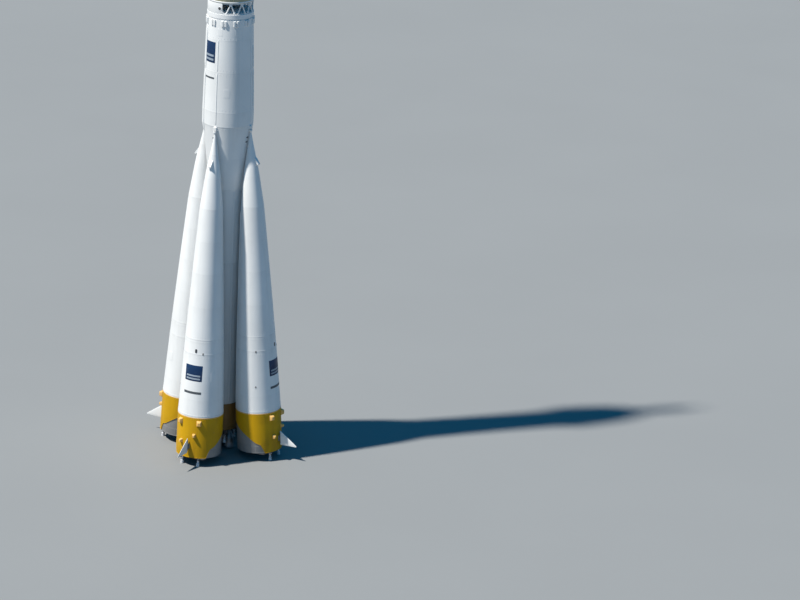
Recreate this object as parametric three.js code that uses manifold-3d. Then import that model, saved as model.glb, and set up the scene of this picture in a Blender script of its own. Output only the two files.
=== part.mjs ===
// A three-stage launch rocket with four strap-on boosters, as a 1:2 scale model.
// Sizes below are the full-size rocket's, in millimetres. Levels are heights over the top edge of
// the boosters' tail skirts, and the last group scales everything down and sets the origin.
import * as THREE from "three";
import { mergeVertices } from "three/addons/utils/BufferGeometryUtils.js";
import Module from "manifold-3d";

const wasm = await Module();
wasm.setup();

const MODEL_SCALE = 0.5;
const GAP = 0.6; // between touching pieces, 0.3 mm on the model
const WAIST_LEVEL = 14900; // underside of the boosters' support brackets: the part's origin
const ROUND = 36; // sides of a round body, so a facet edge falls every 10 degrees
const CURVE_STEPS = 12; // of a quarter turn in an extruded outline
const WALL = 30; // sheet and stringers of a hollow section
const DEG = Math.PI / 180;

const BOOSTER_AZIMUTHS = { a: -135, b: -45, c: 45, d: 135 };
const CROSS_AZIMUTHS = { e: 0, n: 90, w: 180, s: 270 }; // between the boosters

// Core stage: radius at each level.
const CORE = {
  lowRadius: 1000,
  wideRadius: 1475,
  topRadius: 1330,
  coneBottom: 13300,
  wideBottom: 17250,
  wideTop: 18000,
  tankJoint: 8800,
  bayJoint: 20400,
  collarBottom: 23540,
  top: 23800,
  skirtBottom: -1650,
  plateTop: -1440,
};
const CORE_GROOVE = { height: 60, depth: 40 }; // under the collar
const CORE_DOME = { radius: 1180, height: 330, rim: 20, sink: 40 };
const HINGE_CUP = { bottom: 16930, height: 270, width: 210, reach: 1540, length: 500 };
// Cable ducts along the stages. Each row: angle, bottom, top, width.
const CORE_DUCTS = [
  [178, 16700, 20360, 340],
  [178, 20440, 23100, 340],
  [-31, 18150, 20360, 140],
  [-31, 20440, 21850, 140],
];
const DUCT = { proud: 50, sink: 60 };

// Booster: axis and outline. The axis leans in towards the core by LEAN.
const BOOSTER_AXIS = { radiusAtSkirt: 2494, radiusAtTip: 1487, tipLevel: 16800 };
const LEAN = Math.atan2(
  BOOSTER_AXIS.radiusAtSkirt - BOOSTER_AXIS.radiusAtTip,
  BOOSTER_AXIS.tipLevel,
);
// Each row: level, radius.
const BOOSTER_OUTLINE = [
  [0, 1340],
  [3000, 1210],
  [6500, 1027],
  [9000, 882],
  [12400, 676],
  [14600, 415],
  [16200, 140],
  [16800, 50],
];
const TAIL = { radius: 1345, bottom: -2480 };
// Lower edge of the tail's cover, seen from the side. Each row: distance outboard, level.
const APRON_EDGE = [
  [-1400, -620],
  [-460, -1180],
  [0, -1480],
  [460, -1830],
  [713, -1960],
  [828, -2200],
  [910, -2500],
];
const SHROUD = { radius: TAIL.radius - WALL - GAP, top: -380, plateTop: -1240 };
// Handling bosses on the tail's cover. Each row: angle, level, width and height at the foot.
const BOSSES = [
  [-26, -340, 300, 360],
  [26, -340, 300, 360],
  [-21, -1550, 200, 250],
  [15, -1100, 200, 250],
];
const BOSS = { reach: 1530, headShare: 0.55 }; // head's width and height as a share of the foot's
// Bracket in the booster's upright plane: a pad for the arm, and a slope up to the skin.
const BRACKET = {
  width: 220,
  padInner: 2035,
  reach: 2115,
  lip: 60,
  relief: 40,
  topInner: 1895,
  height: 380,
};
const TIE = { level: -260, height: 220, width: 240, inner: 1005, core: 900, sink: 60 };

// Main engine chambers hang from a plate that closes the tail.
const PLATE_THICKNESS = 60;
// Each row: depth below the plate, radius. Outside from the lip up, then the hollow inside.
const BELL_OUTSIDE = [
  [1400, 360],
  [900, 295],
  [420, 95],
  [230, 150],
  [-20, 150],
];
const BELL_INSIDE = [
  [470, 80],
  [900, 272],
  [1400, 338],
];
const BELL_SIDES = 12;
const BOOSTER_BELL_OFFSET = 594;
const CORE_BELL_OFFSET = 560;

// Steering chambers. Each swings about the radial line through its pivot.
const VERNIER_OUTSIDE = [
  [480, 105],
  [330, 82],
  [210, 45],
  [130, 62],
  [30, 62],
];
const VERNIER_INSIDE = [
  [240, 38],
  [330, 70],
  [480, 93],
];
const VERNIER_SIDES = 8;
const SHAFT_SIDES = 8;
const BAR_SIDES = 6;
const VERNIER_TRUNNION = { radius: 45, length: 230, depth: 40 };
const BOOSTER_VERNIER = { radius: 1130, angle: 28, level: -2600 };
const CORE_VERNIER = { radius: 820, level: -2050 };
const HANGER = { inner: 96, width: 44, depth: 110, drop: 60, play: 5 };

// Air rudder: a swept triangle that turns about its radial shaft.
const RUDDER = {
  level: -1780,
  rootTop: 480,
  rootBottom: -400,
  rootX: 1440,
  tipX: 2500,
  tipTop: -360,
  tipBottom: -420,
  rootThickness: 90,
  tipThickness: 24,
  shaftRadius: 45,
  shaftSink: 20,
};
const RUDDER_SEAT = { x: 1395, width: 200, height: 300 };

// Interstage truss: twelve V frames between two rings.
const TRUSS = {
  bottom: CORE.top + GAP,
  height: 650,
  outer: 1300,
  inner: 1215,
  ringHeight: 60,
  tube: 42,
  tubeRadiusLine: 1262,
  vees: 12,
  firstApex: -106,
  footAngle: 11,
};
const PANEL = {
  from: -190,
  to: -127,
  outer: 1324,
  inner: TRUSS.outer - 12,
  sides: 72,
  hole: 90,
  holeSides: 12,
  holeAngle: -134,
  holeLift: 330,
};

// Third stage.
const THIRD_BOTTOM = TRUSS.bottom + TRUSS.height + GAP;
const THIRD = {
  radius: 1330,
  tailTop: THIRD_BOTTOM + 1700,
  top: THIRD_BOTTOM + 6700,
  plateDepth: 1150,
  bellOffset: 520,
};
const THIRD_BELL_OUTSIDE = [
  [900, 330],
  [600, 270],
  [330, 80],
  [180, 120],
  [-20, 120],
];
const THIRD_BELL_INSIDE = [
  [370, 66],
  [600, 250],
  [900, 312],
];
const THIRD_VERNIER = { radius: 1075, level: THIRD_BOTTOM + 480 };
// Each row: angle, bottom, top, width.
const THIRD_DUCTS = [
  [178, THIRD.tailTop + 200, THIRD.top - 200, 260],
  [-2, THIRD.tailTop + 200, THIRD.top - 900, 130],
];

// Nose: adapter, fairing with four folded grid fins, and the escape tower.
const NOSE = THIRD.top + GAP;
// Each row: height over the nose's foot, radius.
const FAIRING_LOWER = [
  [300, 1335],
  [900, 1485],
  [4700, 1485],
];
const FAIRING_UPPER = [
  [4700 + GAP, 1485],
  [5300, 1450],
  [6500, 1270],
  [7700, 960],
  [8700, 600],
  [9150, 430],
];
const TOWER = [
  [9150 + GAP, 430],
  [9450, 375],
  [12600, 375],
  [12750, 300],
  [13500, 300],
  [13700, 210],
  [15000, 210],
  [15450, 90],
  [15640, 0],
];
const TOWER_SIDES = 24;
const NOZZLE_RING = {
  level: 12560,
  count: 12,
  radius: 410,
  length: 520,
  throat: 40,
  lip: 85,
  cant: 30,
  sides: 8,
};
const GRID_FIN = {
  hingeLevel: 1500,
  height: 1250,
  width: 1150,
  depth: 110,
  frame: 60,
  bar: 26,
  standoff: 70,
  columns: 4,
  rows: 4,
};
const GRID_HINGE = { width: 620, height: 90, reach: 60, play: 6, length: 300 };
const BEYOND = 20; // how far a cutting body runs past what it cuts

// A closed solid for booleans from a three.js geometry.
function solid(geometry) {
  const bare = new THREE.BufferGeometry();
  bare.setAttribute("position", geometry.getAttribute("position").clone());
  if (geometry.index) bare.setIndex(geometry.index.clone());
  const merged = mergeVertices(bare, 1e-3);
  const index = Array.from(merged.index.array);
  const kept = [];
  for (let i = 0; i < index.length; i += 3) {
    const [a, b, c] = index.slice(i, i + 3);
    if (a !== b && b !== c && c !== a) kept.push(a, b, c);
  }
  return new wasm.Manifold(
    new wasm.Mesh({
      numProp: 3,
      vertProperties: merged.attributes.position.array,
      triVerts: new Uint32Array(kept),
    }),
  );
}

// The solid's surface as a flat-shaded three.js geometry.
function geometryOf(body) {
  const mesh = body.getMesh();
  const geometry = new THREE.BufferGeometry();
  geometry.setAttribute("position", new THREE.BufferAttribute(mesh.vertProperties, 3));
  geometry.setIndex(new THREE.BufferAttribute(mesh.triVerts, 1));
  return geometry;
}

// A body turned about +Z from rows of level and radius, closed on the axis or on itself.
function turned(rows, sides = ROUND) {
  const points = rows.map(([level, radius]) => new THREE.Vector2(radius, level));
  return solid(new THREE.LatheGeometry(points, sides).rotateX(Math.PI / 2));
}

// A solid of revolution with flat ends.
function turnedSolid(rows, sides = ROUND) {
  return turned([[rows[0][0], 0], ...rows, [rows[rows.length - 1][0], 0]], sides);
}

// A straight ring between two levels.
function ring(bottom, top, outer, inner, sides = ROUND) {
  const rows = [
    [bottom, inner],
    [bottom, outer],
    [top, outer],
    [top, inner],
    [bottom, inner],
  ];
  return turned(rows, sides);
}

function box(width, depth, height, x, y, z) {
  return solid(new THREE.BoxGeometry(width, depth, height).translate(x, y, z));
}

// A pie slice of a round plate, between two angles in degrees.
function wedge(radius, from, to, bottom, top) {
  const shape = new THREE.Shape().moveTo(0, 0);
  shape.absarc(0, 0, radius, from * DEG, to * DEG, false);
  const settings = { depth: top - bottom, bevelEnabled: false, curveSegments: 2 * CURVE_STEPS };
  return solid(new THREE.ExtrudeGeometry(shape, settings).translate(0, 0, bottom));
}

// A round bar between two points.
function bar(from, to, radius, sides = BAR_SIDES) {
  const along = new THREE.Vector3().subVectors(to, from);
  const geometry = new THREE.CylinderGeometry(radius, radius, along.length(), sides);
  const turn = new THREE.Quaternion().setFromUnitVectors(
    new THREE.Vector3(0, 1, 0),
    along.clone().normalize(),
  );
  geometry.applyQuaternion(turn);
  geometry.translate(...new THREE.Vector3().addVectors(from, to).multiplyScalar(0.5));
  return solid(geometry);
}

function around(angle, radius, level = 0) {
  return new THREE.Vector3(radius * Math.cos(angle * DEG), radius * Math.sin(angle * DEG), level);
}

const joined = (bodies) => wasm.Manifold.union(bodies);

// A side view of rows of distance and level, made a block of the given width across.
function sideBlock(rows, width) {
  const shape = new THREE.Shape(rows.map(([x, level]) => new THREE.Vector2(x, level)));
  const block = new THREE.ExtrudeGeometry(shape, { depth: width, bevelEnabled: false });
  return solid(block.rotateX(Math.PI / 2).translate(0, width / 2, 0));
}

// A raised cable duct that follows a straight or tapering wall between two levels.
function duct([angle, bottom, top, width], radiusAt) {
  const corners = [bottom, top].flatMap((level) =>
    [-DUCT.sink, DUCT.proud].flatMap((lift) =>
      [1, -1].map((side) => [radiusAt(level) + lift, (side * width) / 2, level]),
    ),
  );
  return wasm.Manifold.hull(corners).rotate([0, 0, angle]);
}

// Rows that hang below a level, and the hollow rows that follow them, as one closed outline.
function hangingBell(outside, inside, sides) {
  const down = ([depth, radius]) => [-depth, radius];
  const hollow = inside.map(down);
  const outer = outside.map(down);
  const rows = [[hollow[0][0], 0], ...hollow, ...outer, [outer[outer.length - 1][0], 0]];
  return turned(rows, sides);
}

// Plate with its chambers on the diagonals.
function engine(plateRadius, offset, outside, inside) {
  const plate = turnedSolid([
    [0, plateRadius],
    [PLATE_THICKNESS, plateRadius],
  ]);
  const bell = hangingBell(outside, inside, BELL_SIDES);
  const bells = [45, 135, 225, 315].map((angle) => {
    const place = around(angle, offset);
    return bell.translate(place.x, place.y, 0);
  });
  return joined([plate, ...bells]);
}

// Steering chamber on a cross shaft, with its pivot at the local origin and its shaft along X.
function vernier() {
  const chamber = hangingBell(VERNIER_OUTSIDE, VERNIER_INSIDE, VERNIER_SIDES);
  const { radius, length } = VERNIER_TRUNNION;
  const half = new THREE.Vector3(length / 2, 0, 0);
  const shaft = bar(half.clone().negate(), half, radius, SHAFT_SIDES);
  return joined([chamber.translate(0, 0, VERNIER_TRUNNION.depth), shaft]);
}

// Two cheeks that carry a steering chamber's shaft, reaching up into the plate above it.
function hanger(pivot, angle, plateLevel) {
  const { inner, width, depth, drop, play } = HANGER;
  const top = plateLevel - pivot.z + PLATE_THICKNESS / 2;
  const cheeks = [1, -1].map((side) =>
    box(width, depth, top + drop, side * (inner + width / 2), 0, (top - drop) / 2),
  );
  const end = new THREE.Vector3(VERNIER_TRUNNION.length / 2 + play, 0, 0);
  const room = bar(end.clone().negate(), end, VERNIER_TRUNNION.radius + play, SHAFT_SIDES);
  return joined(cheeks).subtract(room).rotate([0, 0, angle]).translate(pivot.x, pivot.y, pivot.z);
}

// One hanger in each cross direction.
function crossHangers(vernier, plateLevel) {
  return Object.values(CROSS_AZIMUTHS).map((angle) =>
    hanger(around(angle, vernier.radius, vernier.level), angle, plateLevel),
  );
}

const boosterVernierPlaces = [1, -1].map((side) => ({
  angle: side * BOOSTER_VERNIER.angle,
  pivot: around(side * BOOSTER_VERNIER.angle, BOOSTER_VERNIER.radius, BOOSTER_VERNIER.level),
}));

function boosterEngine() {
  const plateLevel = SHROUD.plateTop - PLATE_THICKNESS;
  const radius = SHROUD.radius - WALL - GAP;
  const chambers = engine(radius, BOOSTER_BELL_OFFSET, BELL_OUTSIDE, BELL_INSIDE);
  const hangers = boosterVernierPlaces.map(({ pivot, angle }) => hanger(pivot, angle, plateLevel));
  return joined([chambers.translate(0, 0, plateLevel), ...hangers]);
}

function coreEngine() {
  const plateLevel = CORE.plateTop - PLATE_THICKNESS;
  const radius = CORE.lowRadius - WALL - GAP;
  const chambers = engine(radius, CORE_BELL_OFFSET, BELL_OUTSIDE, BELL_INSIDE);
  return joined([chambers.translate(0, 0, plateLevel), ...crossHangers(CORE_VERNIER, plateLevel)]);
}

function thirdEngine() {
  const plateLevel = THIRD_BOTTOM + THIRD.plateDepth;
  const radius = THIRD.radius - WALL - GAP;
  const outline = [THIRD_BELL_OUTSIDE, THIRD_BELL_INSIDE];
  const chambers = engine(radius, THIRD.bellOffset, ...outline);
  return joined([chambers.translate(0, 0, plateLevel), ...crossHangers(THIRD_VERNIER, plateLevel)]);
}

// Hollow cover with its long outboard apron, four bosses, the rudder's seat and the tie to the core.
function boosterTail() {
  const { radius, bottom } = TAIL;
  const wall = ring(bottom, -GAP, radius, radius - WALL);
  const below = [...APRON_EDGE, [APRON_EDGE[0][0], bottom - BEYOND]];
  const inner = radius - WALL / 2;
  const seat = box(
    RUDDER_SEAT.x - inner,
    RUDDER_SEAT.width,
    RUDDER_SEAT.height,
    (RUDDER_SEAT.x + inner) / 2,
    0,
    RUDDER.level,
  );
  const cover = wall.subtract(sideBlock(below, 2 * radius + BEYOND));
  return joined([cover, ...BOSSES.map((row) => boss(row, inner)), seat, tailTie()]);
}

// Block that narrows from its foot in the cover's wall to its head.
function boss([angle, level, width, height], inner) {
  const ends = [
    [inner, 1],
    [BOSS.reach, BOSS.headShare],
  ];
  const corners = ends.flatMap(([x, share]) =>
    [1, -1].flatMap((side) =>
      [1, -1].map((end) => [x, (side * share * width) / 2, (end * share * height) / 2]),
    ),
  );
  return wasm.Manifold.hull(corners).rotate([0, 0, angle]).translate(0, 0, level);
}

// Grey sleeve inside the cover, which shows under the cover's slanting edge.
function engineShroud() {
  return ring(TAIL.bottom, SHROUD.top, SHROUD.radius, SHROUD.radius - WALL);
}

// Block that carries the booster's tail on the core, cut to the core's wall in the upright frame.
function tailTie() {
  const outer = BOOSTER_AXIS.radiusAtSkirt - TAIL.radius + TIE.sink;
  const middle = (outer + TIE.core) / 2;
  const block = box(outer - TIE.core, TIE.width, TIE.height, middle, 0, TIE.level);
  const core = turnedSolid([
    [TIE.level - TIE.height, TIE.inner],
    [TIE.level + TIE.height, TIE.inner],
  ]);
  return leaning(block.subtract(core));
}

// Moves an upright solid of the booster's plane into the leaning booster's own frame.
function leaning(body) {
  return body.translate(-BOOSTER_AXIS.radiusAtSkirt, 0, 0).rotate([0, LEAN / DEG, 0]);
}

// Tapering tanks as one body, with the support bracket near the tip.
function boosterBody() {
  const rows = BOOSTER_OUTLINE.map(([level, radius]) => [level + GAP, radius]);
  const { width, padInner, reach, lip, relief, topInner, height } = BRACKET;
  const axisThere = BOOSTER_AXIS.radiusAtSkirt - WAIST_LEVEL * Math.tan(LEAN);
  const side = [
    [axisThere, relief],
    [padInner, relief],
    [padInner, 0],
    [reach, 0],
    [reach, lip],
    [topInner, height],
    [axisThere, height],
  ].map(([x, lift]) => [x, WAIST_LEVEL + lift]);
  return joined([turnedSolid(rows), leaning(sideBlock(side, width))]);
}

// Rudder plate that thins towards its tip, with a shaft stub, pivot at the local origin.
function rudder() {
  const { rootTop, rootBottom, rootX, rootThickness, tipTop, tipBottom, tipX, tipThickness } = RUDDER;
  const outline = [
    [rootX, rootTop, rootThickness],
    [rootX, rootBottom, rootThickness],
    [tipX, tipBottom, tipThickness],
    [tipX, tipTop, tipThickness],
  ];
  const corners = outline.flatMap(([x, z, thickness]) => [
    [x, -thickness / 2, z],
    [x, thickness / 2, z],
  ]);
  const plate = wasm.Manifold.hull(corners);
  const from = new THREE.Vector3(RUDDER_SEAT.x + GAP, 0, 0);
  const to = new THREE.Vector3(rootX + RUDDER.shaftSink, 0, 0);
  return joined([plate, bar(from, to, RUDDER.shaftRadius, SHAFT_SIDES)]);
}

function coreTail() {
  return ring(CORE.skirtBottom, -GAP, CORE.lowRadius, CORE.lowRadius - WALL);
}

function coreFuelTank() {
  return turnedSolid([
    [0, CORE.lowRadius],
    [CORE.tankJoint - GAP, CORE.lowRadius],
  ]);
}

// The core's radius on the slow taper over its widest part.
function upperCoreRadius(level) {
  const share = (level - CORE.wideTop) / (CORE.collarBottom - CORE.wideTop);
  return CORE.wideRadius + (CORE.topRadius - CORE.wideRadius) * share;
}

// The wide upper tank, with a cup for each booster's tip.
function coreOxidizerTank() {
  const tank = turnedSolid([
    [CORE.tankJoint, CORE.lowRadius],
    [CORE.coneBottom, CORE.lowRadius],
    [CORE.wideBottom, CORE.wideRadius],
    [CORE.wideTop, CORE.wideRadius],
    [CORE.bayJoint - GAP, upperCoreRadius(CORE.bayJoint)],
  ]);
  const { bottom, height, width, reach, length } = HINGE_CUP;
  const cups = Object.values(BOOSTER_AZIMUTHS).map((angle) =>
    box(length, width, height, reach - length / 2, 0, bottom + height / 2).rotate([0, 0, angle]),
  );
  return joined([tank, ...cups, ...coreDucts(CORE.coneBottom, CORE.bayJoint)]);
}

// The core's ducts that stand between two levels.
function coreDucts(from, to) {
  const here = CORE_DUCTS.filter(([, bottom, top]) => bottom >= from && top <= to);
  return here.map((row) => duct(row, upperCoreRadius));
}

// Equipment bay, its collar and the heat-shield dome that shows through the truss.
function coreTopBay() {
  const { height, depth } = CORE_GROOVE;
  const domeFoot = CORE.top - CORE_DOME.sink;
  const domeRows = [0, 30, 60].map((angle) => [
    domeFoot + CORE_DOME.height * Math.sin(angle * DEG),
    CORE_DOME.radius * Math.cos(angle * DEG),
  ]);
  const bay = turned([
    [CORE.bayJoint, 0],
    [CORE.bayJoint, upperCoreRadius(CORE.bayJoint)],
    [CORE.collarBottom - height, CORE.topRadius],
    [CORE.collarBottom - height, CORE.topRadius - depth],
    [CORE.collarBottom, CORE.topRadius - depth],
    [CORE.collarBottom, CORE.topRadius],
    [CORE.top, CORE.topRadius],
    [CORE.top, CORE_DOME.radius + CORE_DOME.rim],
    [domeFoot, CORE_DOME.radius + CORE_DOME.rim],
    ...domeRows,
    [domeFoot + CORE_DOME.height, 0],
  ]);
  return joined([bay, ...coreDucts(CORE.bayJoint, CORE.collarBottom)]);
}

// Rings, V frames and the closed panel on one side.
function trussFrame() {
  const { bottom, height, outer, inner, ringHeight, tube, tubeRadiusLine } = TRUSS;
  const top = bottom + height;
  const rings = [
    ring(bottom, bottom + ringHeight, outer, inner),
    ring(top - ringHeight, top, outer, inner),
  ];
  const bars = [];
  for (let i = 0; i < TRUSS.vees; i++) {
    const apex = TRUSS.firstApex + (360 / TRUSS.vees) * i;
    const head = around(apex, tubeRadiusLine, top - tube);
    for (const side of [1, -1]) {
      const foot = around(apex + side * TRUSS.footAngle, tubeRadiusLine, bottom + tube);
      bars.push(bar(foot, head, tube));
    }
  }
  const sheet = ring(bottom, top, PANEL.outer, PANEL.inner, PANEL.sides);
  const slice = wedge(2 * outer, PANEL.from, PANEL.to, bottom - BEYOND, top + BEYOND);
  const holeEnd = (radius) => around(PANEL.holeAngle, radius, bottom + PANEL.holeLift);
  const hole = bar(holeEnd(inner), holeEnd(PANEL.outer + BEYOND), PANEL.hole, PANEL.holeSides);
  return joined([...rings, ...bars, sheet.intersect(slice).subtract(hole)]);
}

function thirdTail() {
  return ring(THIRD_BOTTOM, THIRD.tailTop - GAP, THIRD.radius, THIRD.radius - WALL);
}

function thirdTank() {
  const tank = turnedSolid([
    [THIRD.tailTop, THIRD.radius],
    [THIRD.top, THIRD.radius],
  ]);
  return joined([tank, ...THIRD_DUCTS.map((row) => duct(row, () => THIRD.radius))]);
}

const overNose = (rows) => rows.map(([height, radius]) => [NOSE + height, radius]);

function payloadAdapter() {
  return turnedSolid(overNose([[0, THIRD.radius], [300 - GAP, 1335]]));
}

// Fairing barrel with a hinge bar under each grid fin.
function fairingBarrel() {
  const barrel = turnedSolid(overNose(FAIRING_LOWER));
  const { width, height, reach, play, length } = GRID_HINGE;
  const outer = FAIRING_LOWER[2][1] + reach;
  const level = NOSE + GRID_FIN.hingeLevel - play - height / 2;
  const hinges = Object.values(CROSS_AZIMUTHS).map((angle) =>
    box(length, width, height, outer - length / 2, 0, level).rotate([0, 0, angle]),
  );
  return joined([barrel, ...hinges]);
}

// Folded lattice fin: a frame with crossing bars, hinged on its lower edge at the local origin.
function gridFin() {
  const { height, width, depth, frame, bar: barWidth, columns, rows } = GRID_FIN;
  const pieces = [];
  const plane = depth / 2;
  for (const side of [1, -1]) {
    pieces.push(box(depth, frame, height, plane, (side * (width - frame)) / 2, height / 2));
  }
  for (const level of [frame / 2, height - frame / 2]) {
    pieces.push(box(depth, width, frame, plane, 0, level));
  }
  for (let i = 1; i < columns; i++) {
    pieces.push(box(depth, barWidth, height, plane, (width * i) / columns - width / 2, height / 2));
  }
  for (let i = 1; i < rows; i++) {
    pieces.push(box(depth, width, barWidth, plane, 0, (height * i) / rows));
  }
  return joined(pieces);
}

// Escape motor with its ring of canted nozzles and the small motor and tip over it.
function escapeTower() {
  const motor = turned([[NOSE + TOWER[0][0], 0], ...overNose(TOWER)], TOWER_SIDES);
  const nozzles = [];
  const { level, count, radius, length, throat, lip, cant, sides } = NOZZLE_RING;
  for (let i = 0; i < count; i++) {
    const cone = new THREE.CylinderGeometry(throat, lip, length, sides).rotateX(Math.PI / 2);
    cone.rotateY(-cant * DEG).translate(radius, 0, NOSE + level);
    nozzles.push(solid(cone.rotateZ((360 / count) * i * DEG)));
  }
  return joined([motor, ...nozzles]);
}

const paint = (colour, roughness, metalness = 0) =>
  new THREE.MeshStandardMaterial({ color: colour, roughness, metalness, flatShading: true });

const WHITE = paint(0xdfe1e0, 0.45);
const OCHRE = paint(0xc9950f, 0.5);
const OLIVE = paint(0x9a9673, 0.55);
const BROWN = paint(0x5c3a1c, 0.6);
const BARE_METAL = paint(0x8b8d90, 0.4, 0.8);
const DARK_METAL = paint(0x4a4c50, 0.5, 0.7);
const GREY = paint(0x8f949a, 0.5);

function named(name, geometry, material) {
  const mesh = new THREE.Mesh(geometry, material);
  mesh.name = name;
  return mesh;
}

const shape = {
  boosterBody: geometryOf(boosterBody()),
  boosterTail: geometryOf(boosterTail()),
  engineShroud: geometryOf(engineShroud()),
  boosterEngine: geometryOf(boosterEngine()),
  rudder: geometryOf(rudder()),
  vernier: geometryOf(vernier()),
  gridFin: geometryOf(gridFin()),
};

// One booster: a group turned to its place round the core, and in it the leaning group.
function booster(letter, azimuth) {
  const place = new THREE.Group();
  place.rotation.z = azimuth * DEG;
  const lean = new THREE.Group();
  lean.position.x = BOOSTER_AXIS.radiusAtSkirt;
  lean.rotation.y = -LEAN;
  place.add(lean);
  lean.add(
    named("booster_" + letter + "_tanks", shape.boosterBody, WHITE),
    named("booster_" + letter + "_tail", shape.boosterTail, OCHRE),
    named("booster_" + letter + "_shroud", shape.engineShroud, GREY),
    named("booster_" + letter + "_engine", shape.boosterEngine, DARK_METAL),
  );
  const fin = named("booster_" + letter + "_rudder", shape.rudder, WHITE);
  fin.position.z = RUDDER.level;
  lean.add(fin);
  boosterVernierPlaces.forEach(({ pivot, angle }, i) => {
    const chamber = named("booster_" + letter + "_vernier_" + (i + 1), shape.vernier, BARE_METAL);
    chamber.position.copy(pivot);
    chamber.rotation.z = angle * DEG;
    lean.add(chamber);
  });
  return place;
}

// Pieces that stand round the axis between the boosters.
function crosswise(prefix, geometry, material, radius, level) {
  return Object.entries(CROSS_AZIMUTHS).map(([letter, angle]) => {
    const mesh = named(prefix + "_" + letter, geometry, material);
    mesh.position.copy(around(angle, radius, level));
    mesh.rotation.z = angle * DEG;
    return mesh;
  });
}

const rocket = new THREE.Group();
rocket.add(
  named("core_tail", geometryOf(coreTail()), BROWN),
  named("core_fuel_tank", geometryOf(coreFuelTank()), WHITE),
  named("core_oxidizer_tank", geometryOf(coreOxidizerTank()), WHITE),
  named("core_top_bay", geometryOf(coreTopBay()), WHITE),
  named("core_engine", geometryOf(coreEngine()), DARK_METAL),
  named("interstage_truss", geometryOf(trussFrame()), WHITE),
  named("third_tail", geometryOf(thirdTail()), OLIVE),
  named("third_tank", geometryOf(thirdTank()), WHITE),
  named("third_engine", geometryOf(thirdEngine()), DARK_METAL),
  named("payload_adapter", geometryOf(payloadAdapter()), GREY),
  named("fairing_barrel", geometryOf(fairingBarrel()), WHITE),
  named("fairing_nose", geometryOf(turnedSolid(overNose(FAIRING_UPPER))), WHITE),
  named("escape_tower", geometryOf(escapeTower()), WHITE),
  ...crosswise("core_vernier", shape.vernier, BARE_METAL, CORE_VERNIER.radius, CORE_VERNIER.level),
  ...crosswise("third_vernier", shape.vernier, BARE_METAL, THIRD_VERNIER.radius, THIRD_VERNIER.level),
  ...crosswise(
    "grid_fin",
    shape.gridFin,
    GREY,
    FAIRING_LOWER[2][1] + GRID_FIN.standoff,
    NOSE + GRID_FIN.hingeLevel,
  ),
);
for (const [letter, azimuth] of Object.entries(BOOSTER_AZIMUTHS)) rocket.add(booster(letter, azimuth));
rocket.scale.setScalar(MODEL_SCALE);
rocket.position.z = -WAIST_LEVEL * MODEL_SCALE;

const part = new THREE.Group();
part.add(rocket);

export default part;
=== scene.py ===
"""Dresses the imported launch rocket: painted skins, engines, lattice and fins, a stage and a camera.

Sizes are written in metres of the full-size rocket and brought to the 1:2 model by METRE. Heights
count from the upper edges of the tail skirts. Every shape is a surface worked out on a grid of
two parameters.
"""

import math
from collections import namedtuple

import bpy
import numpy as np
from mathutils import Matrix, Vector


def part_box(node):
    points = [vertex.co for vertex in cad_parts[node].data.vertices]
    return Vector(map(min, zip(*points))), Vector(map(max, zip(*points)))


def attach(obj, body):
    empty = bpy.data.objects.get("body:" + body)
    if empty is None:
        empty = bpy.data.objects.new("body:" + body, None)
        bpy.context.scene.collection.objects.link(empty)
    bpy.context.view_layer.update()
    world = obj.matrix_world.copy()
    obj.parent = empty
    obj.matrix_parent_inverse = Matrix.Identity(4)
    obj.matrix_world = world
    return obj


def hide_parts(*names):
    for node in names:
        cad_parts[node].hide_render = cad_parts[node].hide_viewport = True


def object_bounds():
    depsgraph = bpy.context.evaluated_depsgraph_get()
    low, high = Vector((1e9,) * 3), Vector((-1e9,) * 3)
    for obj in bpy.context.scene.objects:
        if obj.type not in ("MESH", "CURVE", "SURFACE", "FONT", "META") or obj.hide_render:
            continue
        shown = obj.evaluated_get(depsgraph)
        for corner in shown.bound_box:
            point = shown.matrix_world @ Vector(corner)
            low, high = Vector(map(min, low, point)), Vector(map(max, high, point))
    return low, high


bl_info = {
    "name": "Launch rocket dress",
    "version": (1, 0, 0),
    "blender": (4, 5, 0),
    "location": "3D View > Sidebar > Rocket",
    "description": "Builds the painted skins, engines and fittings of a model launch rocket",
    "category": "Object",
}

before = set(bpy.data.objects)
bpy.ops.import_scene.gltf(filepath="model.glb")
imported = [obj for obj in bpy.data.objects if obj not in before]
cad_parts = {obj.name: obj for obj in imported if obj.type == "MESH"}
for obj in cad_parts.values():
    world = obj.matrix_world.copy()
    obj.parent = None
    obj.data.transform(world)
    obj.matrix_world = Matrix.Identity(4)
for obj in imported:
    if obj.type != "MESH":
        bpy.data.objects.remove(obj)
CAD_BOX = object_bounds()

METRE = 0.5  # one metre of the full-size rocket, on the model
TAIL_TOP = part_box("core_fuel_tank")[0].z  # level of the tail skirts' upper edges
FLOOR = CAD_BOX[0].z
BOOSTERS = "abcd"
CROSS = "enws"
TURN = 2 * math.pi
WALL = 0.03
GAP = 0.0006  # kept between solids that meet

# Booster axis: distance from the core's axis at two heights.
AXIS_AT_TAIL = 2.494
AXIS_AT_TIP = 1.487
TIP_HEIGHT = 16.8
LEAN = math.atan2(AXIS_AT_TAIL - AXIS_AT_TIP, TIP_HEIGHT)

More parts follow.
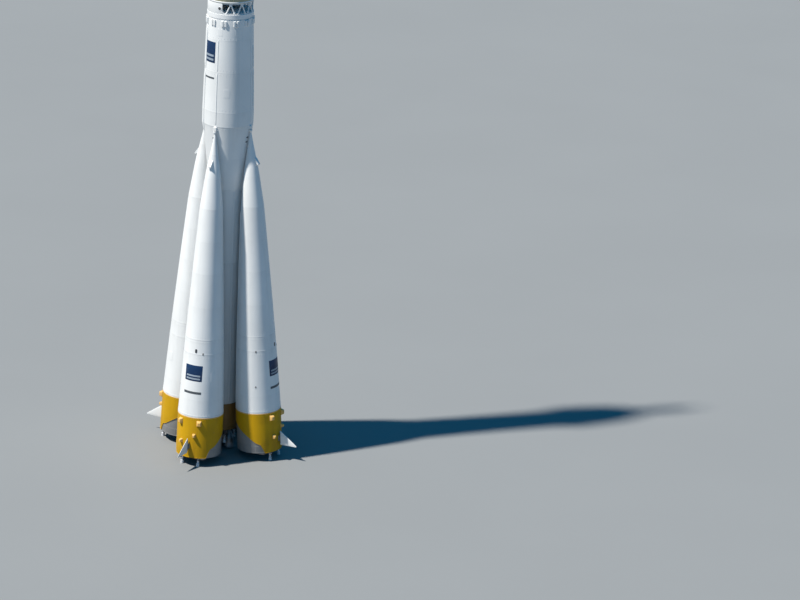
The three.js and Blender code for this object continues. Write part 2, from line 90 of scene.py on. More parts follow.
# Rows of height and radius.
BOOSTER_ROWS = [
    (0.004, 1.34), (3.0, 1.21), (6.5, 1.027), (9.0, 0.882),
    (12.4, 0.676), (14.6, 0.415), (16.2, 0.14), (16.8, 0.05),
]
CORE_LOW_ROWS = [(0.004, 1.0), (8.8, 1.0)]
CORE_WIDE_ROWS = [(8.8, 1.0), (13.3, 1.0), (17.25, 1.475), (18.0, 1.475), (20.4, 1.4118)]
CORE_BAY_ROWS = [(20.4, 1.4118), (23.48, 1.33)]
COLLAR = (23.48, 23.54, 23.8)
SKIRT_RADIUS = 1.345
CORE_RADIUS = 1.0
THIRD_BOTTOM = 24.4512
THIRD_TAIL_TOP = 26.1512
THIRD_TOP = 31.1512
THIRD_RADIUS = 1.33
NOSE = 31.1518

# Seams: height, half width, how far they stand proud (negative for a groove).
BOOSTER_SEAMS = [
    (0.10, 0.035, 0.008), (1.05, 0.016, 0.002), (3.83, 0.028, 0.006), (4.55, 0.030, 0.004),
    (4.70, 0.030, 0.006), (6.60, 0.016, 0.002), (8.60, 0.018, 0.003), (10.50, 0.016, 0.002),
    (12.45, 0.040, 0.004), (14.20, 0.016, 0.002), (15.60, 0.018, 0.003),
]
CORE_SEAMS = [
    (0.10, 0.035, 0.008), (4.40, 0.018, 0.003), (8.80, 0.030, 0.007),
    (13.30, 0.025, 0.005), (15.20, 0.018, 0.003), (17.20, 0.035, 0.007),
    (18.05, 0.022, 0.004), (20.40, 0.025, 0.003), (22.30, 0.018, 0.003),
]
THIRD_SEAMS = [
    (THIRD_TAIL_TOP + 0.02, 0.030, 0.009), (THIRD_TAIL_TOP + 1.10, 0.020, 0.004),
    (THIRD_TAIL_TOP + 2.60, 0.020, 0.004), (THIRD_TAIL_TOP + 3.90, 0.030, 0.007),
    (THIRD_TOP - 0.10, 0.030, 0.009),
]


# Settings


def setting(kind, name, description, default, **more):
    """One value that a user may change."""
    return kind(name=name, description=description, default=default, **more)


def a_colour(name, description, *rgb):
    """A linear colour."""
    return setting(bpy.props.FloatVectorProperty, name, description, rgb, subtype="COLOR")


def a_length(name, description, default):
    """A length in metres of the model."""
    return setting(bpy.props.FloatProperty, name, description, default, unit="LENGTH")


def an_angle(name, description, degrees):
    """An angle, given here in degrees."""
    kind = bpy.props.FloatProperty
    return setting(kind, name, description, math.radians(degrees), subtype="ANGLE")


def a_count(name, description, default, low, high):
    """A whole number between two limits."""
    return setting(bpy.props.IntProperty, name, description, default, min=low, max=high)


def a_number(name, description, default):
    """A plain number."""
    return setting(bpy.props.FloatProperty, name, description, default)


class RocketSizes(bpy.types.PropertyGroup):
    """Sizes that a user may change, in metres of the model."""

    sides: a_count("Sides", "Points round a tank's skin", 128, 48, 256)
    row_step: a_length("Row step", "Greatest height of a face on a skin", 0.11)
    stud_radius: a_length("Stud radius", "Radius of a screw head", 0.009)
    truss_bar: a_length("Lattice bar", "Radius of a bar in the interstage", 0.021)
    bell_sides: a_count("Bell sides", "Points round a main chamber", 40, 16, 128)


class RocketColours(bpy.types.PropertyGroup):
    """Paint and metal colours, linear."""

    white: a_colour("White", "Paint of tanks and nose", 0.78, 0.78, 0.77)
    ochre: a_colour("Ochre", "Paint of the tail covers", 0.57, 0.315, 0.003)
    brown: a_colour("Brown", "Paint of the core's tail", 0.26, 0.13, 0.03)
    olive: a_colour("Olive", "Paint of the third stage's tail", 0.44, 0.42, 0.27)
    grey: a_colour("Grey", "Paint of grid fins and sleeves", 0.23, 0.225, 0.22)
    blue: a_colour("Blue", "Ground of the plain panels", 0.006, 0.027, 0.080)
    chamber: a_colour("Chamber metal", "Metal of the chambers", 0.34, 0.34, 0.35)
    dark_metal: a_colour("Dark metal", "Metal of plates and carriers", 0.09, 0.09, 0.10)
    floor: a_colour("Floor", "Stage floor", 0.235, 0.24, 0.24)
    sky: a_colour("Sky", "Colour of the fill light", 0.05, 0.47, 1.0)


class StageSettings(bpy.types.PropertyGroup):
    """Camera and light."""

    distance: a_length("Distance", "Camera to the tails' top level", 93.675)
    elevation: an_angle("Elevation", "Height angle of the camera", 21.107)
    azimuth: an_angle("Azimuth", "Turn round the rocket", -16.04)
    yaw: an_angle("Yaw", "Turn of the view off the rocket", -3.404)
    pitch: an_angle("Pitch", "Tilt of the view off the rocket", 1.901)
    roll: an_angle("Roll", "Turn about the view's own line", -2.456)
    focal: a_number("Lens", "Focal length in mm", 141.1)
    sun_power: a_number("Key", "Strength of the key light", 6.0)
    sun_height: an_angle("Key height", "Height angle of the key light", 58)
    sun_side: an_angle("Key side", "Turn from the camera's side", -75)
    sky_power: a_number("Fill", "Strength of the sky fill", 0.34)


# Shapes

Shell = namedtuple("Shell", "points quads uv wear slot")
Place = namedtuple("Place", "axes foot")
ARCH = 0.6  # exponent that squares off a duct's section
SHARP_EDGE = math.radians(34)


def metres(*sizes):
    """Full-size metres, or rows of them, as lengths of the model."""
    return np.array(sizes, float) * METRE


def unit(vectors):
    """Vectors divided by their lengths."""
    return vectors / np.linalg.norm(vectors, axis=-1, keepdims=True)


def circle(sides):
    """Even angles once round, the last a step short of a full turn."""
    return TURN * np.arange(sides) / sides


def cylindrical(angle, radius, height):
    """Points from angle, radius and height: radius times cosine and sine, and the height."""
    return np.stack(np.broadcast_arrays(radius * np.cos(angle), radius * np.sin(angle), height), -1)


def grid(points, wrap=(True, False), slot=0, uv=None, wear=None):
    """Quads of a grid of points. A wrapped direction joins its last row to its first."""
    nu, nv = points.shape[:2]
    steps_u, steps_v = nu - (not wrap[0]), nv - (not wrap[1])
    i, j = np.meshgrid(np.arange(steps_u), np.arange(steps_v), indexing="ij")
    corners = [(i, j), (i + 1, j), (i + 1, j + 1), (i, j + 1)]
    quads = np.stack([(a % nu) * nv + b % nv for a, b in corners], -1).reshape(-1, 4)
    if uv is None:
        corner_uv = np.stack([np.stack([a / steps_u, b / steps_v], -1) for a, b in corners], 2)
    else:
        corner_uv = np.stack([uv[a % nu, b % nv] for a, b in corners], 2)
    worn = np.zeros((nu, nv)) if wear is None else np.broadcast_to(wear, (nu, nv))
    return Shell(points.reshape(-1, 3), quads, corner_uv.reshape(-1, 4, 2), worn.reshape(-1), slot)


def merged(shells):
    """One shell from several of the same slot."""
    offsets = np.cumsum([0] + [len(s.points) for s in shells[:-1]])
    quads = np.concatenate([s.quads + o for s, o in zip(shells, offsets)])
    points, uv, wear = (np.concatenate([s[k] for s in shells]) for k in (0, 2, 3))
    return Shell(points, quads, uv, wear, shells[0].slot)


def placed(shell, place):
    """The shell carried into a frame: each point a sum of the frame's directions and its foot."""
    return shell._replace(points=shell.points @ place.axes + place.foot)


def copies(shell, places):
    """One copy of the shell for each place, as arrays."""
    number = len(places)
    axes = np.stack([p.axes for p in places])
    feet = np.stack([p.foot for p in places])
    points = np.einsum("nk,mkj->mnj", shell.points, axes) + feet[:, None]
    quads = shell.quads[None] + (np.arange(number) * len(shell.points))[:, None, None]
    uv, wear = np.tile(shell.uv, (number, 1, 1)), np.tile(shell.wear, number)
    return Shell(points.reshape(-1, 3), quads.reshape(-1, 4), uv, wear, shell.slot)


def laid(shell):
    """The shell with its upright direction laid along X."""
    return shell._replace(points=shell.points[:, [2, 0, 1]])


def outward(shell):
    """The shell with its faces out: the signed volume under its quads is made positive."""
    a, b, c, d = (shell.points[shell.quads[:, k]] for k in range(4))
    if (np.cross(a, b) * c).sum() + (np.cross(a, c) * d).sum() < 0:
        return shell._replace(quads=shell.quads[:, ::-1], uv=shell.uv[:, ::-1])
    return shell


def welded(shell, near=2e-5):
    """Points closer than near become one, and faces that this closes up become triangles or go."""
    centre = shell.points.mean(0)
    keys = np.round((shell.points - centre) / near).astype(np.int64)
    _, first, inverse = np.unique(keys, axis=0, return_index=True, return_inverse=True)
    quads = inverse.reshape(-1)[shell.quads]
    keep = quads != np.roll(quads, 1, axis=1)
    whole = (keep.sum(1) >= 3) & (quads[:, 0] != quads[:, 2]) & (quads[:, 1] != quads[:, 3])
    keep &= whole[:, None]
    return shell.points[first], shell.wear[first], quads[keep], shell.uv[keep], keep.sum(1)[whole]


def turned(rows, sides=48, closed=False, slot=0, wear=None):
    """Surface of revolution: angle round the axis by place along the rows of height and radius.

    Unless the rows close on themselves, both ends are brought onto the axis."""
    rows = np.asarray(rows, float)
    worn = np.zeros(len(rows)) if wear is None else np.asarray(wear, float)
    if not closed:
        rows = np.vstack([(rows[0, 0], 0), rows, (rows[-1, 0], 0)])
        worn = np.concatenate([worn[:1], worn, worn[-1:]])
    points = cylindrical(circle(sides)[:, None], rows[:, 1], rows[:, 0])
    return grid(points, (True, closed), slot, wear=worn[None])


def rounded(rows, size, closed=False):
    """Rows with each inner corner replaced by a parabola that starts and ends size away from it."""
    rows = np.asarray(rows, float)
    corner = rows if closed else rows[1:-1]
    before = np.roll(rows, 1, axis=0) if closed else rows[:-2]
    after = np.roll(rows, -1, axis=0) if closed else rows[2:]
    ends = []
    for beside in (before, after):
        reach = np.minimum(size, 0.45 * np.linalg.norm(beside - corner, axis=1))[:, None]
        ends.append(corner + unit(beside - corner) * reach)
    t = np.linspace(0, 1, 3)[:, None, None]
    arcs = (1 - t) ** 2 * ends[0] + 2 * t * (1 - t) * corner + t**2 * ends[1]
    arcs = arcs.transpose(1, 0, 2).reshape(-1, 2)
    return arcs if closed else np.vstack([rows[:1], arcs, rows[-1:]])


def wall_section(low, high, inner, outer):
    """Closed section of a round wall, as rows of height and radius on the model."""
    return metres((low, inner), (low, outer), (high, outer), (high, inner))


def round_wall(low, high, inner, outer, edge, sides=144):
    """Round wall with softened edges: its closed section turned about the axis."""
    return turned(rounded(wall_section(low, high, inner, outer), edge, True), sides, True)


def loft(loops, slot=0):
    """Skin over closed loops one after another, with both end loops drawn to their middles."""
    loops = np.asarray(loops, float)
    ends = np.broadcast_to(loops.mean(1, keepdims=True), loops.shape)
    return grid(np.concatenate([ends[:1], loops, ends[-1:]]), (False, True), slot)


def rod(path, radius, sides=10, slot=0):
    """A round section carried along a path of points, with closed ends."""
    path = np.asarray(path, float)
    along = unit(np.gradient(path, axis=0))
    guide = np.eye(3)[np.argmin(np.abs(along).mean(0))]
    across = unit(np.cross(along, guide))
    other = np.cross(along, across)
    angle = circle(sides)[None, :, None]
    ring = np.cos(angle) * across[:, None] + np.sin(angle) * other[:, None]
    radii = np.broadcast_to(radius, len(path))
    return loft(path[:, None] + ring * radii[:, None, None], slot)


def outline(width, depth, corner, steps=4):
    """Rounded rectangle as one loop: four quarter circles about the corners' centres."""
    corner = min(corner, 0.49 * width, 0.49 * depth)
    quarter = np.linspace(0, math.pi / 2, steps)
    angle = (np.arange(4)[:, None] * math.pi / 2 + quarter).reshape(-1)
    sign = np.repeat([(1, 1), (-1, 1), (-1, -1), (1, -1)], steps, axis=0)
    middle = sign * (width / 2 - corner, depth / 2 - corner)
    return middle + corner * np.stack([np.cos(angle), np.sin(angle)], -1)


def even_loop(loop, step):
    """The closed loop with points added along its long sides, no further apart than step."""
    after = np.roll(loop, -1, axis=0)
    number = np.maximum(1, np.ceil(np.linalg.norm(after - loop, axis=1) / step).astype(int))
    share = np.arange(number.sum()) - np.repeat(np.cumsum(number) - number, number)
    share = (share / np.repeat(number, number))[:, None]
    start = np.repeat(loop, number, axis=0)
    return start + share * (np.repeat(after, number, axis=0) - start)


def block(size, centre=(0, 0, 0), bevel=0.006, slot=0, taper=1.0):
    """Box with rounded edges: a rounded rectangle carried upwards and drawn in at both ends."""
    width, depth, height = size
    rise = np.array([0, 0.3, 1]) * bevel
    level = np.concatenate([rise - height / 2, height / 2 - rise[::-1]])
    inset = bevel - np.concatenate([rise, rise[::-1]])
    scale = np.interp(level, (-height / 2, height / 2), (1.0, taper))
    loops = []
    for z, cut, grow in zip(level, inset, scale):
        flat = outline(width - 2 * cut, depth - 2 * cut, bevel) * grow
        loops.append(np.column_stack([flat, np.full(len(flat), z)]))
    return loft(np.array(loops) + np.asarray(centre, float), slot)


def around(angle, radius, height=0.0):
    """Point at an angle round the axis, with both lengths in full-size metres."""
    return cylindrical(angle, radius, height) * METRE


def turned_place(angle, foot=(0.0, 0.0, 0.0)):
    """Frame turned about the upright axis, with its foot given in the model's metres."""
    c, s = math.cos(angle), math.sin(angle)
    return Place(np.array([(c, s, 0), (-s, c, 0), (0, 0, 1)]), np.asarray(foot, float))


UPRIGHT = turned_place(0, (0, 0, TAIL_TOP))


def azimuth_of(node):
    """Angle round the axis at which a CAD node stands."""
    low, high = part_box(node)
    return math.atan2(low.y + high.y, low.x + high.x)


def booster_place(letter):
    """Frame of a leaning booster: outboard, sideways and lengthwise directions, and its foot."""
    out, side, up = turned_place(azimuth_of(f"booster_{letter}_tail")).axes
    c, s = math.cos(LEAN), math.sin(LEAN)
    axes = np.array([c * out + s * up, side, c * up - s * out])
    return Place(axes, out * AXIS_AT_TAIL * METRE + up * TAIL_TOP)


BOOSTER_PLACES = {letter: booster_place(letter) for letter in BOOSTERS}


def facing(place):
    """Upright frame on the core's axis that faces a booster, and its angle round the axis."""
    angle = math.atan2(place.foot[1], place.foot[0])
    return turned_place(angle, (0, 0, TAIL_TOP)), angle


class Skin:
    """A round body: its radius at each height, and the frame that it stands in."""

    def __init__(self, rows, place=UPRIGHT, soft=0.0, seams=()):
        """A fine table of radii from the rows, each averaged over the length soft round it."""
        self.place = place
        self.seams = np.array(seams, float).reshape(-1, 3) * METRE
        rows = np.asarray(rows, float) * METRE
        self.heights = np.linspace(rows[0, 0], rows[-1, 0], 1200)
        self.radii = np.interp(self.heights, rows[:, 0], rows[:, 1])
        if soft:
            reach = max(1, int(soft * METRE / (self.heights[1] - self.heights[0]) / 2))
            wide = np.pad(self.radii, reach, mode="reflect", reflect_type="odd")
            self.radii = np.convolve(wide, np.ones(2 * reach + 1) / (2 * reach + 1), "valid")

    def radius(self, height):
        """Radius at a height: the table's, and a smooth hump or dip at each seam."""
        away = (np.asarray(height)[..., None] - self.seams[:, 0]) / self.seams[:, 1]
        relief = (self.seams[:, 2] * np.exp(-(away**2))).sum(-1)
        return np.interp(height, self.heights, self.radii) + relief

    def at(self, angle, height, lift=0.0):
        """Point on the skin, or lift above it, in the part's frame."""
        local = cylindrical(angle, self.radius(height) + lift, height)
        return local @ self.place.axes + self.place.foot

    def levels(self, step):
        """Heights of the grid's rows: even steps, and a close cluster over each seam."""
        low, high = self.heights[0], self.heights[-1]
        even = np.linspace(low, high, max(2, int((high - low) / step) + 1))
        cluster = self.seams[:, :1] + self.seams[:, 1:2] * np.linspace(-2.2, 2.2, 9)
        inside = cluster[(cluster > low) & (cluster < high)]
        return np.unique(np.round(np.concatenate([even, inside]), 5))

    def stain(self, heights):
        """How much runs down from seams: most under a proud one, fading over a third of a metre."""
        below = self.seams[:, 0] - np.asarray(heights)[..., None]
        runs = np.where(below >= -0.01, np.exp(-np.clip(below, 0, None) / (0.3 * METRE)), 0.0)
        runs = runs * np.clip(self.seams[:, 2] / (0.01 * METRE), 0.1, 1)
        return np.clip(runs.max(-1, initial=0.0), 0, 1)

    def place_on(self, angle, height):
        """Frame that stands on the skin: outwards, sideways and along it."""
        axes = turned_place(angle).axes @ self.place.axes
        return Place(axes, self.at(np.array(angle), np.array(height)))


def skin_shell(skin, sides, step):
    """The skin itself, closed by flat ends: angle by height."""
    heights = skin.levels(step)
    rows = np.column_stack([heights, skin.radius(heights)])
    return placed(turned(rows, sides, wear=skin.stain(heights)), skin.place)


def hoop(skin, height, width, proud, slot=0):
    """A band with a half-round section carried once round the skin."""
    section = circle(10)
    lift = proud * np.maximum(np.sin(section), -0.35)
    level = height * METRE + width * METRE / 2 * np.cos(section)
    points = skin.at(circle(96)[:, None], level[None], lift[None] * METRE)
    return grid(points, (True, True), slot)


def patch(skin, angle, height, width, tall, lift, corner=0.05, slot=0):
    """A plate that follows the skin: a rounded rectangle drawn in ring by ring, laid on its curve.

    Its flat coordinates, from 0 to 1 each way, are its UV map."""
    loop = even_loop(outline(width, tall, corner, 6), 0.05)
    scale = np.array([0, 0.5, 1, 1, 1, 0.975, 0.8, 0.6, 0.4, 0.2, 0])
    rise = np.array([-0.01] * 3 + [0, lift * 0.8] + [lift] * 6)
    flat = loop[None] * scale[:, None, None]
    level = (height + flat[..., 1]) * METRE
    spread = angle + flat[..., 0] * METRE / skin.radius(level)
    points = skin.at(spread, level, rise[:, None] * METRE)
    return grid(points, (False, True), slot, uv=flat / (width, tall) + 0.5)


def duct(skin, angle, bottom, top, width, proud, steps=50):
    """A low raised tunnel along the skin: a flattened arch carried up it, drawn in at its ends."""
    share = np.linspace(0, 1, steps)[:, None]
    ease = np.clip(np.minimum(share, 1 - share) * (top - bottom) / (1.2 * width), 0, 1) ** 0.5
    c, s = np.cos(circle(20)), np.sin(circle(20))
    across = width / 2 * np.sign(c) * np.abs(c) ** ARCH
    lift = proud * np.where(s > 0, np.abs(s) ** ARCH, -0.3)
    level = np.broadcast_to(bottom + (top - bottom) * share, (steps, len(c))) * METRE
    spread = angle + across * METRE / skin.radius(level) * (0.6 + 0.4 * ease)
    return loft(skin.at(spread, level, lift * ease * METRE))


def studs(skin, angles, heights, radius):
    """Low round screw heads standing on the skin, one for each pair of angle and height."""
    dome = laid(turned([(-0.3, 1), (0.1, 1), (0.45, 0.75), (0.6, 0.35)], 8))
    dome = dome._replace(points=dome.points * radius)
    return copies(dome, [skin.place_on(a, h * METRE) for a, h in zip(angles, heights)])


def stud_rings(skin, radius, *heights, number=48):
    """Rings of evenly spaced screw heads, one at each height."""
    ring = np.linspace(0, TURN, number, endpoint=False)
    return [studs(skin, ring, np.full(number, height), radius) for height in heights]


def piece(name, node, shells, materials, body="airframe"):
    """One object from closed shells: oriented, welded, put in a mesh as arrays, tied to a body."""
    parts = [welded(outward(s)) for s in shells]
    starts = np.cumsum([0] + [len(p[0]) for p in parts[:-1]])
    points, wear, uv, totals = (np.concatenate([p[k] for p in parts]) for k in (0, 1, 3, 4))
    corners = np.concatenate([p[2] + s for p, s in zip(parts, starts)])
    slots = np.concatenate([np.full(len(p[4]), s.slot) for p, s in zip(parts, shells)])
    mesh = bpy.data.meshes.new(name)
    mesh.vertices.add(len(points))
    mesh.vertices.foreach_set("co", points.astype(np.float32).reshape(-1))
    mesh.loops.add(len(corners))
    mesh.loops.foreach_set("vertex_index", corners.astype(np.int32))
    mesh.polygons.add(len(totals))
    mesh.polygons.foreach_set("loop_start", (np.cumsum(totals) - totals).astype(np.int32))
    mesh.polygons.foreach_set("loop_total", totals.astype(np.int32))
    mesh.polygons.foreach_set("material_index", slots.astype(np.int32))
    mesh.update(calc_edges=True)
    mesh.uv_layers.new(name="UVMap").data.foreach_set("uv", uv.astype(np.float32).reshape(-1))
    worn = mesh.attributes.new("wear", "FLOAT", "POINT")
    worn.data.foreach_set("value", wear.astype(np.float32))
    mesh.shade_smooth()
    mesh.set_sharp_from_angle(angle=SHARP_EDGE)
    for material in materials:
        mesh.materials.append(material)
    obj = bpy.data.objects.new(name, mesh)
    bpy.context.scene.collection.objects.link(obj)
    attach(obj, body)
    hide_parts(node)


# Materials


def shade(colour, share):
    """The colour made lighter or darker by a share, at most 1 in each channel."""
    return tuple(min(1.0, c * share) for c in colour)


class Paintbox:
    """A new material and short ways to add nodes to it."""

    def __init__(self, name):
        """Starts the material with its surface and the piece's own coordinates."""
        self.material = bpy.data.materials.new(name)
        self.material.use_nodes = True
        self.tree = self.material.node_tree
        self.surface = self.tree.nodes["Principled BSDF"]
        self.object_space = self.tree.nodes.new("ShaderNodeTexCoord").outputs["Object"]

    def fill(self, node, key, value):
        """Joins a socket to a node's input, or sets the input to a constant."""
        if isinstance(value, bpy.types.NodeSocket):
            self.tree.links.new(value, node.inputs[key])
        else:
            node.inputs[key].default_value = value

    def node(self, kind, inputs=None, **settings):
        """A node with its settings, and its inputs set to values or joined to sockets."""
        made = self.tree.nodes.new("ShaderNode" + kind)
        for key, value in settings.items():
            setattr(made, key, value)
        for key, value in (inputs or {}).items():
            self.fill(made, key, value)
        return made

    def noise(self, scale, detail=3.0, stretch=None, rough=0.55):
        """Noise on object coordinates, pulled out along an axis where stretch is given."""
        vector = self.object_space
        if stretch:
            vector = self.node("Mapping", {"Vector": vector, "Scale": stretch}).outputs[0]
        settings = {"Vector": vector, "Scale": scale, "Detail": detail, "Roughness": rough}
        return self.node("TexNoise", settings).outputs["Fac"]

    def between(self, value, low, high, to_low=0.0, to_high=1.0):
        """The value carried from one range to another, and held inside it."""
        ranges = {"Value": value, 1: low, 2: high, 3: to_low, 4: to_high}
        return self.node("MapRange", ranges, clamp=True).outputs[0]

    def math(self, operation, a, b=0.0):
        """One sum, product or other step."""
        return self.node("Math", {0: a, 1: b}, operation=operation).outputs[0]

    def plus(self, a, b):
        """The sum of two values."""
        return self.math("ADD", a, b)

    def times(self, a, b):
        """The product of two values."""
        return self.math("MULTIPLY", a, b)

    def inside(self, value, low, high):
        """One where the value lies between two limits, and nought elsewhere."""
        over, under = self.math("GREATER_THAN", value, low), self.math("LESS_THAN", value, high)
        return self.times(over, under)

    def mix(self, share, a, b):
        """Two colours mixed by a share. Sockets 6 and 7 of the node are its two colours."""
        inputs = {0: share}
        for socket, value in ((6, a), (7, b)):
            joined = isinstance(value, bpy.types.NodeSocket)
            inputs[socket] = value if joined else (*value, 1.0)
        return self.node("Mix", inputs, data_type="RGBA").outputs[2]

    def uv(self):
        """Across and up on the UV map."""
        place = self.node("TexCoord").outputs["UV"]
        return self.node("SeparateXYZ", {0: place}).outputs[:2]

    def finish(
        self, colour, roughness, metallic=0.0, height=None, bump=0.2, distance=0.004, shine=0.5
    ):
        """Joins colour, roughness and relief to the surface, and gives back the material."""
        for key, value in (
            ("Base Color", colour), ("Roughness", roughness),
            ("Metallic", metallic), ("Specular IOR Level", shine),
        ):
            self.fill(self.surface, key, value)
        if height is not None:
            relief = self.node("Bump", {"Height": height, "Strength": bump, "Distance": distance})
            self.fill(self.surface, "Normal", relief.outputs[0])
        return self.material


def paint(name, colour, dirt, rough, streaks, chips=0.0, fade=None, shine=0.5, shade_heights=None):
    """Weathered paint: cloudy tone, rain streaks down the body, stains under seams, fine speckle.

    Where two heights are given, painted shade darkens the tone evenly from the upper to the lower."""
    box = Paintbox(name)
    cloud = box.between(box.noise(0.55, 4.0), 0.3, 0.72)
    tone = box.mix(cloud, shade(colour, 0.93), shade(colour, 1.05))
    if fade:
        tone = box.mix(box.between(box.noise(2.1, 3.0), 0.45, 0.75, 0.0, 0.7), tone, fade)
    # Painted shade: below the upper height the tone is mixed towards black, standing in for the shade
    # between parts.
    if shade_heights:
        height = box.node("SeparateXYZ", {0: box.object_space}).outputs[2]
        tone = box.mix(box.between(height, *shade_heights, 0.27, 0.0), tone, (0.0, 0.0, 0.0))
    rain = box.between(box.noise(5.0, 5.0, (1.0, 1.0, 0.035)), 0.52, 0.78)
    trail = box.between(box.noise(7.0, 4.0, (1, 1, 0.05)), 0.35, 0.7)
    stain = box.times(box.node("Attribute", attribute_name="wear").outputs["Fac"], trail)
    speckle = box.between(box.noise(55.0, 2.0), 0.62, 0.8, 0.0, 0.25)
    amount = box.plus(box.times(rain, streaks * 0.35), box.times(stain, streaks))
    amount = box.plus(amount, box.times(speckle, streaks))
    tone = box.mix(box.math("MINIMUM", amount, 0.85), tone, dirt)
    if chips:
        flake = box.between(box.noise(16.0, 6.0, None, 0.7), 0.66, 0.70)
        tone = box.mix(box.times(flake, chips), tone, (0.16, 0.14, 0.12))
    gloss = box.between(box.noise(3.0, 4.0), 0.25, 0.75, rough - 0.07, rough + 0.12)
    wavy = box.plus(box.noise(1.6, 2.0), box.times(box.noise(120.0, 2.0), 0.04))
    return box.finish(tone, gloss, height=wavy, bump=0.35, distance=0.012, shine=shine)


def metal(name, colour, tint, rough, lines=0, metallic=0.85):
    """Worked metal: heat tint in bands, smudges, and with lines fine ribs along the UV map."""
    box = Paintbox(name)
    smudge = box.between(box.noise(9.0, 5.0), 0.35, 0.7)
    tone = box.mix(smudge, shade(colour, 0.75), shade(colour, 1.2))
    band = box.between(box.noise(2.4, 3.0, (0.6, 0.6, 2.5)), 0.5, 0.72, 0.0, 0.6)
    tone = box.mix(band, tone, tint)
    gloss = box.between(box.noise(22.0, 3.0), 0.3, 0.7, rough - 0.08, rough + 0.16)
    height = box.noise(40.0, 3.0)
    if lines:
        wave = box.math("SINE", box.times(box.uv()[0], lines * TURN))
        height = box.plus(box.times(height, 0.3), wave)
    return box.finish(tone, gloss, metallic=metallic, height=height, bump=0.25, distance=0.002)


def panel_design(name, ground, light):
    """Plain panel on the UV map: a dark ground that pales upwards, pale stripes across its foot."""
    box = Paintbox(name)
    across, up = box.uv()
    tone = box.mix(up, shade(ground, 0.8), shade(ground, 1.3))
    middle = box.inside(across, 0.10, 0.90)
    for low, high in ((0.10, 0.20), (0.29, 0.39)):
        stripe = box.times(box.inside(up, low, high), middle)
        tone = box.mix(box.times(stripe, 0.8), tone, light)
    tone = box.mix(box.between(box.noise(6.0, 5.0), 0.5, 0.8, 0.0, 0.08), tone, light)
    return box.finish(tone, box.between(box.noise(5.0), 0.3, 0.7, 0.35, 0.5), shine=0.25)


MATERIALS = {}
# Painted shade on the core: below the upper level its paint darkens towards the lower, standing in
# for the shade between the boosters.
CORE_SHADE_LEVELS = (TAIL_TOP + 3.5 * METRE, TAIL_TOP + 15.5 * METRE)  # levels between which the core darkens
GRIME = (0.24, 0.23, 0.21)


def make_materials(colours):
    """All the rocket's finishes, from the panel's colours."""
    white, chamber = colours.white, colours.chamber
    MATERIALS.update(
        white=paint("white_paint", white, GRIME, 0.4, 0.3),
        # The core's paint carries painted shade towards its foot, between the boosters.
        core=paint("core_paint_shaded", white, GRIME, 0.4, 0.3, shade_heights=CORE_SHADE_LEVELS),
        rudder=paint("rudder_paint", shade(white, 1.03), GRIME, 0.4, 0.25, 0.3),
        ochre=paint("ochre_paint", colours.ochre, (0.16, 0.085, 0.008), 0.46, 0.5, 0.4,
                    (0.44, 0.24, 0.006), 0.18),
        # Pale cream on the bosses and the bead atop each cover: painted highlight, lighter than the
        # ochre, standing in for their sunlit faces and rim.
        cream=paint("cream_paint", (0.73, 0.43, 0.13), (0.30, 0.18, 0.06), 0.46, 0.3, shine=0.3),
        brown=paint("brown_paint", colours.brown, (0.07, 0.045, 0.02), 0.55, 0.5),
        olive=paint("olive_paint", colours.olive, (0.16, 0.15, 0.09), 0.5, 0.5, 0.2,
                    (0.30, 0.29, 0.20)),
        grey=paint("grey_paint", colours.grey, (0.12, 0.12, 0.12), 0.5, 0.4, 0.2),
        dark=paint("dark_fittings", (0.045, 0.05, 0.055), (0.02, 0.02, 0.02), 0.5, 0.3),
        chamber=metal("chamber_metal", chamber, (0.20, 0.15, 0.11), 0.36, 60),
        nozzle=metal("nozzle_metal", shade(chamber, 2.1), (0.52, 0.48, 0.42), 0.42, metallic=0.3),
        plate=metal("plate_metal", colours.dark_metal, (0.06, 0.045, 0.03), 0.5),
        emblem=panel_design("plain_panel", colours.blue, (0.34, 0.40, 0.46)),
        bar=paint("panel_bar", (0.07, 0.08, 0.09), (0.2, 0.2, 0.2), 0.45, 0.2),
    )


def finish_list(*names):
    """Materials by their short names, in slot order."""
    if not MATERIALS:
        raise RuntimeError("The paints and metals have to be mixed first")
    return [MATERIALS[n] for n in names]


# Operators


class RocketMaterials(bpy.types.Operator):
    """Mixes the paints and metals"""

    bl_idname = "rocket.materials"
    bl_label = "Paints and metals"

    def execute(self, context):
        """Mixes every finish from the colours in the panel."""
        make_materials(context.scene.rocket_colours)
        return {"FINISHED"}


# Bracket, upright in its booster's plane. Rows of distance from the core's axis and height.
BRACKET_WEDGE = [(1.60, 14.94), (2.115, 14.94), (2.115, 14.96), (1.895, 15.28), (1.60, 15.28)]
BRACKET_WIDTH = 0.22
BRACKET_PAD = {"size": (0.08, BRACKET_WIDTH, 0.05), "middle": (2.075, 0, 14.925)}
# Small hatches, and last the plain panel and bar. Rows of angle in degrees, height, width,
# tallness, lift, corner, finish.
BOOSTER_PATCHES = [
    (6, 4.02, 0.13, 0.24, 0.012, 0.06, 1),
    (27, 3.87, 0.09, 0.15, 0.010, 0.045, 2),
    (-63, 3.80, 0.09, 0.15, 0.010, 0.045, 2),
    (-66, 1.65, 0.09, 0.12, 0.010, 0.045, 2),
    (62, 2.45, 0.42, 0.55, 0.008, 0.06, 0),
    (-118, 2.2, 0.5, 0.7, 0.010, 0.08, 0),
    (150, 5.3, 0.4, 0.5, 0.010, 0.06, 0),
    (-150, 9.4, 0.3, 0.4, 0.008, 0.06, 0),
    (1.5, 2.68, 1.12, 0.95, 0.006, 0.02, 3),
    (1.5, 1.5, 1.14, 0.14, 0.006, 0.01, 4),
]
# Ducts along a booster. Rows of angle in degrees, bottom, top, width, how far they stand out.
BOOSTER_DUCTS = [(142, 0.35, 12.2, 0.10, 0.04), (-142, 0.35, 12.2, 0.07, 0.03)]
BOOSTER_TIP = [(16.75, 0.05), (16.80, 0.07), (16.88, 0.07), (16.95, 0.045), (16.97, 0.02)]
BOOSTER_SOFT = 0.7  # length over which the rows' corners are smoothed


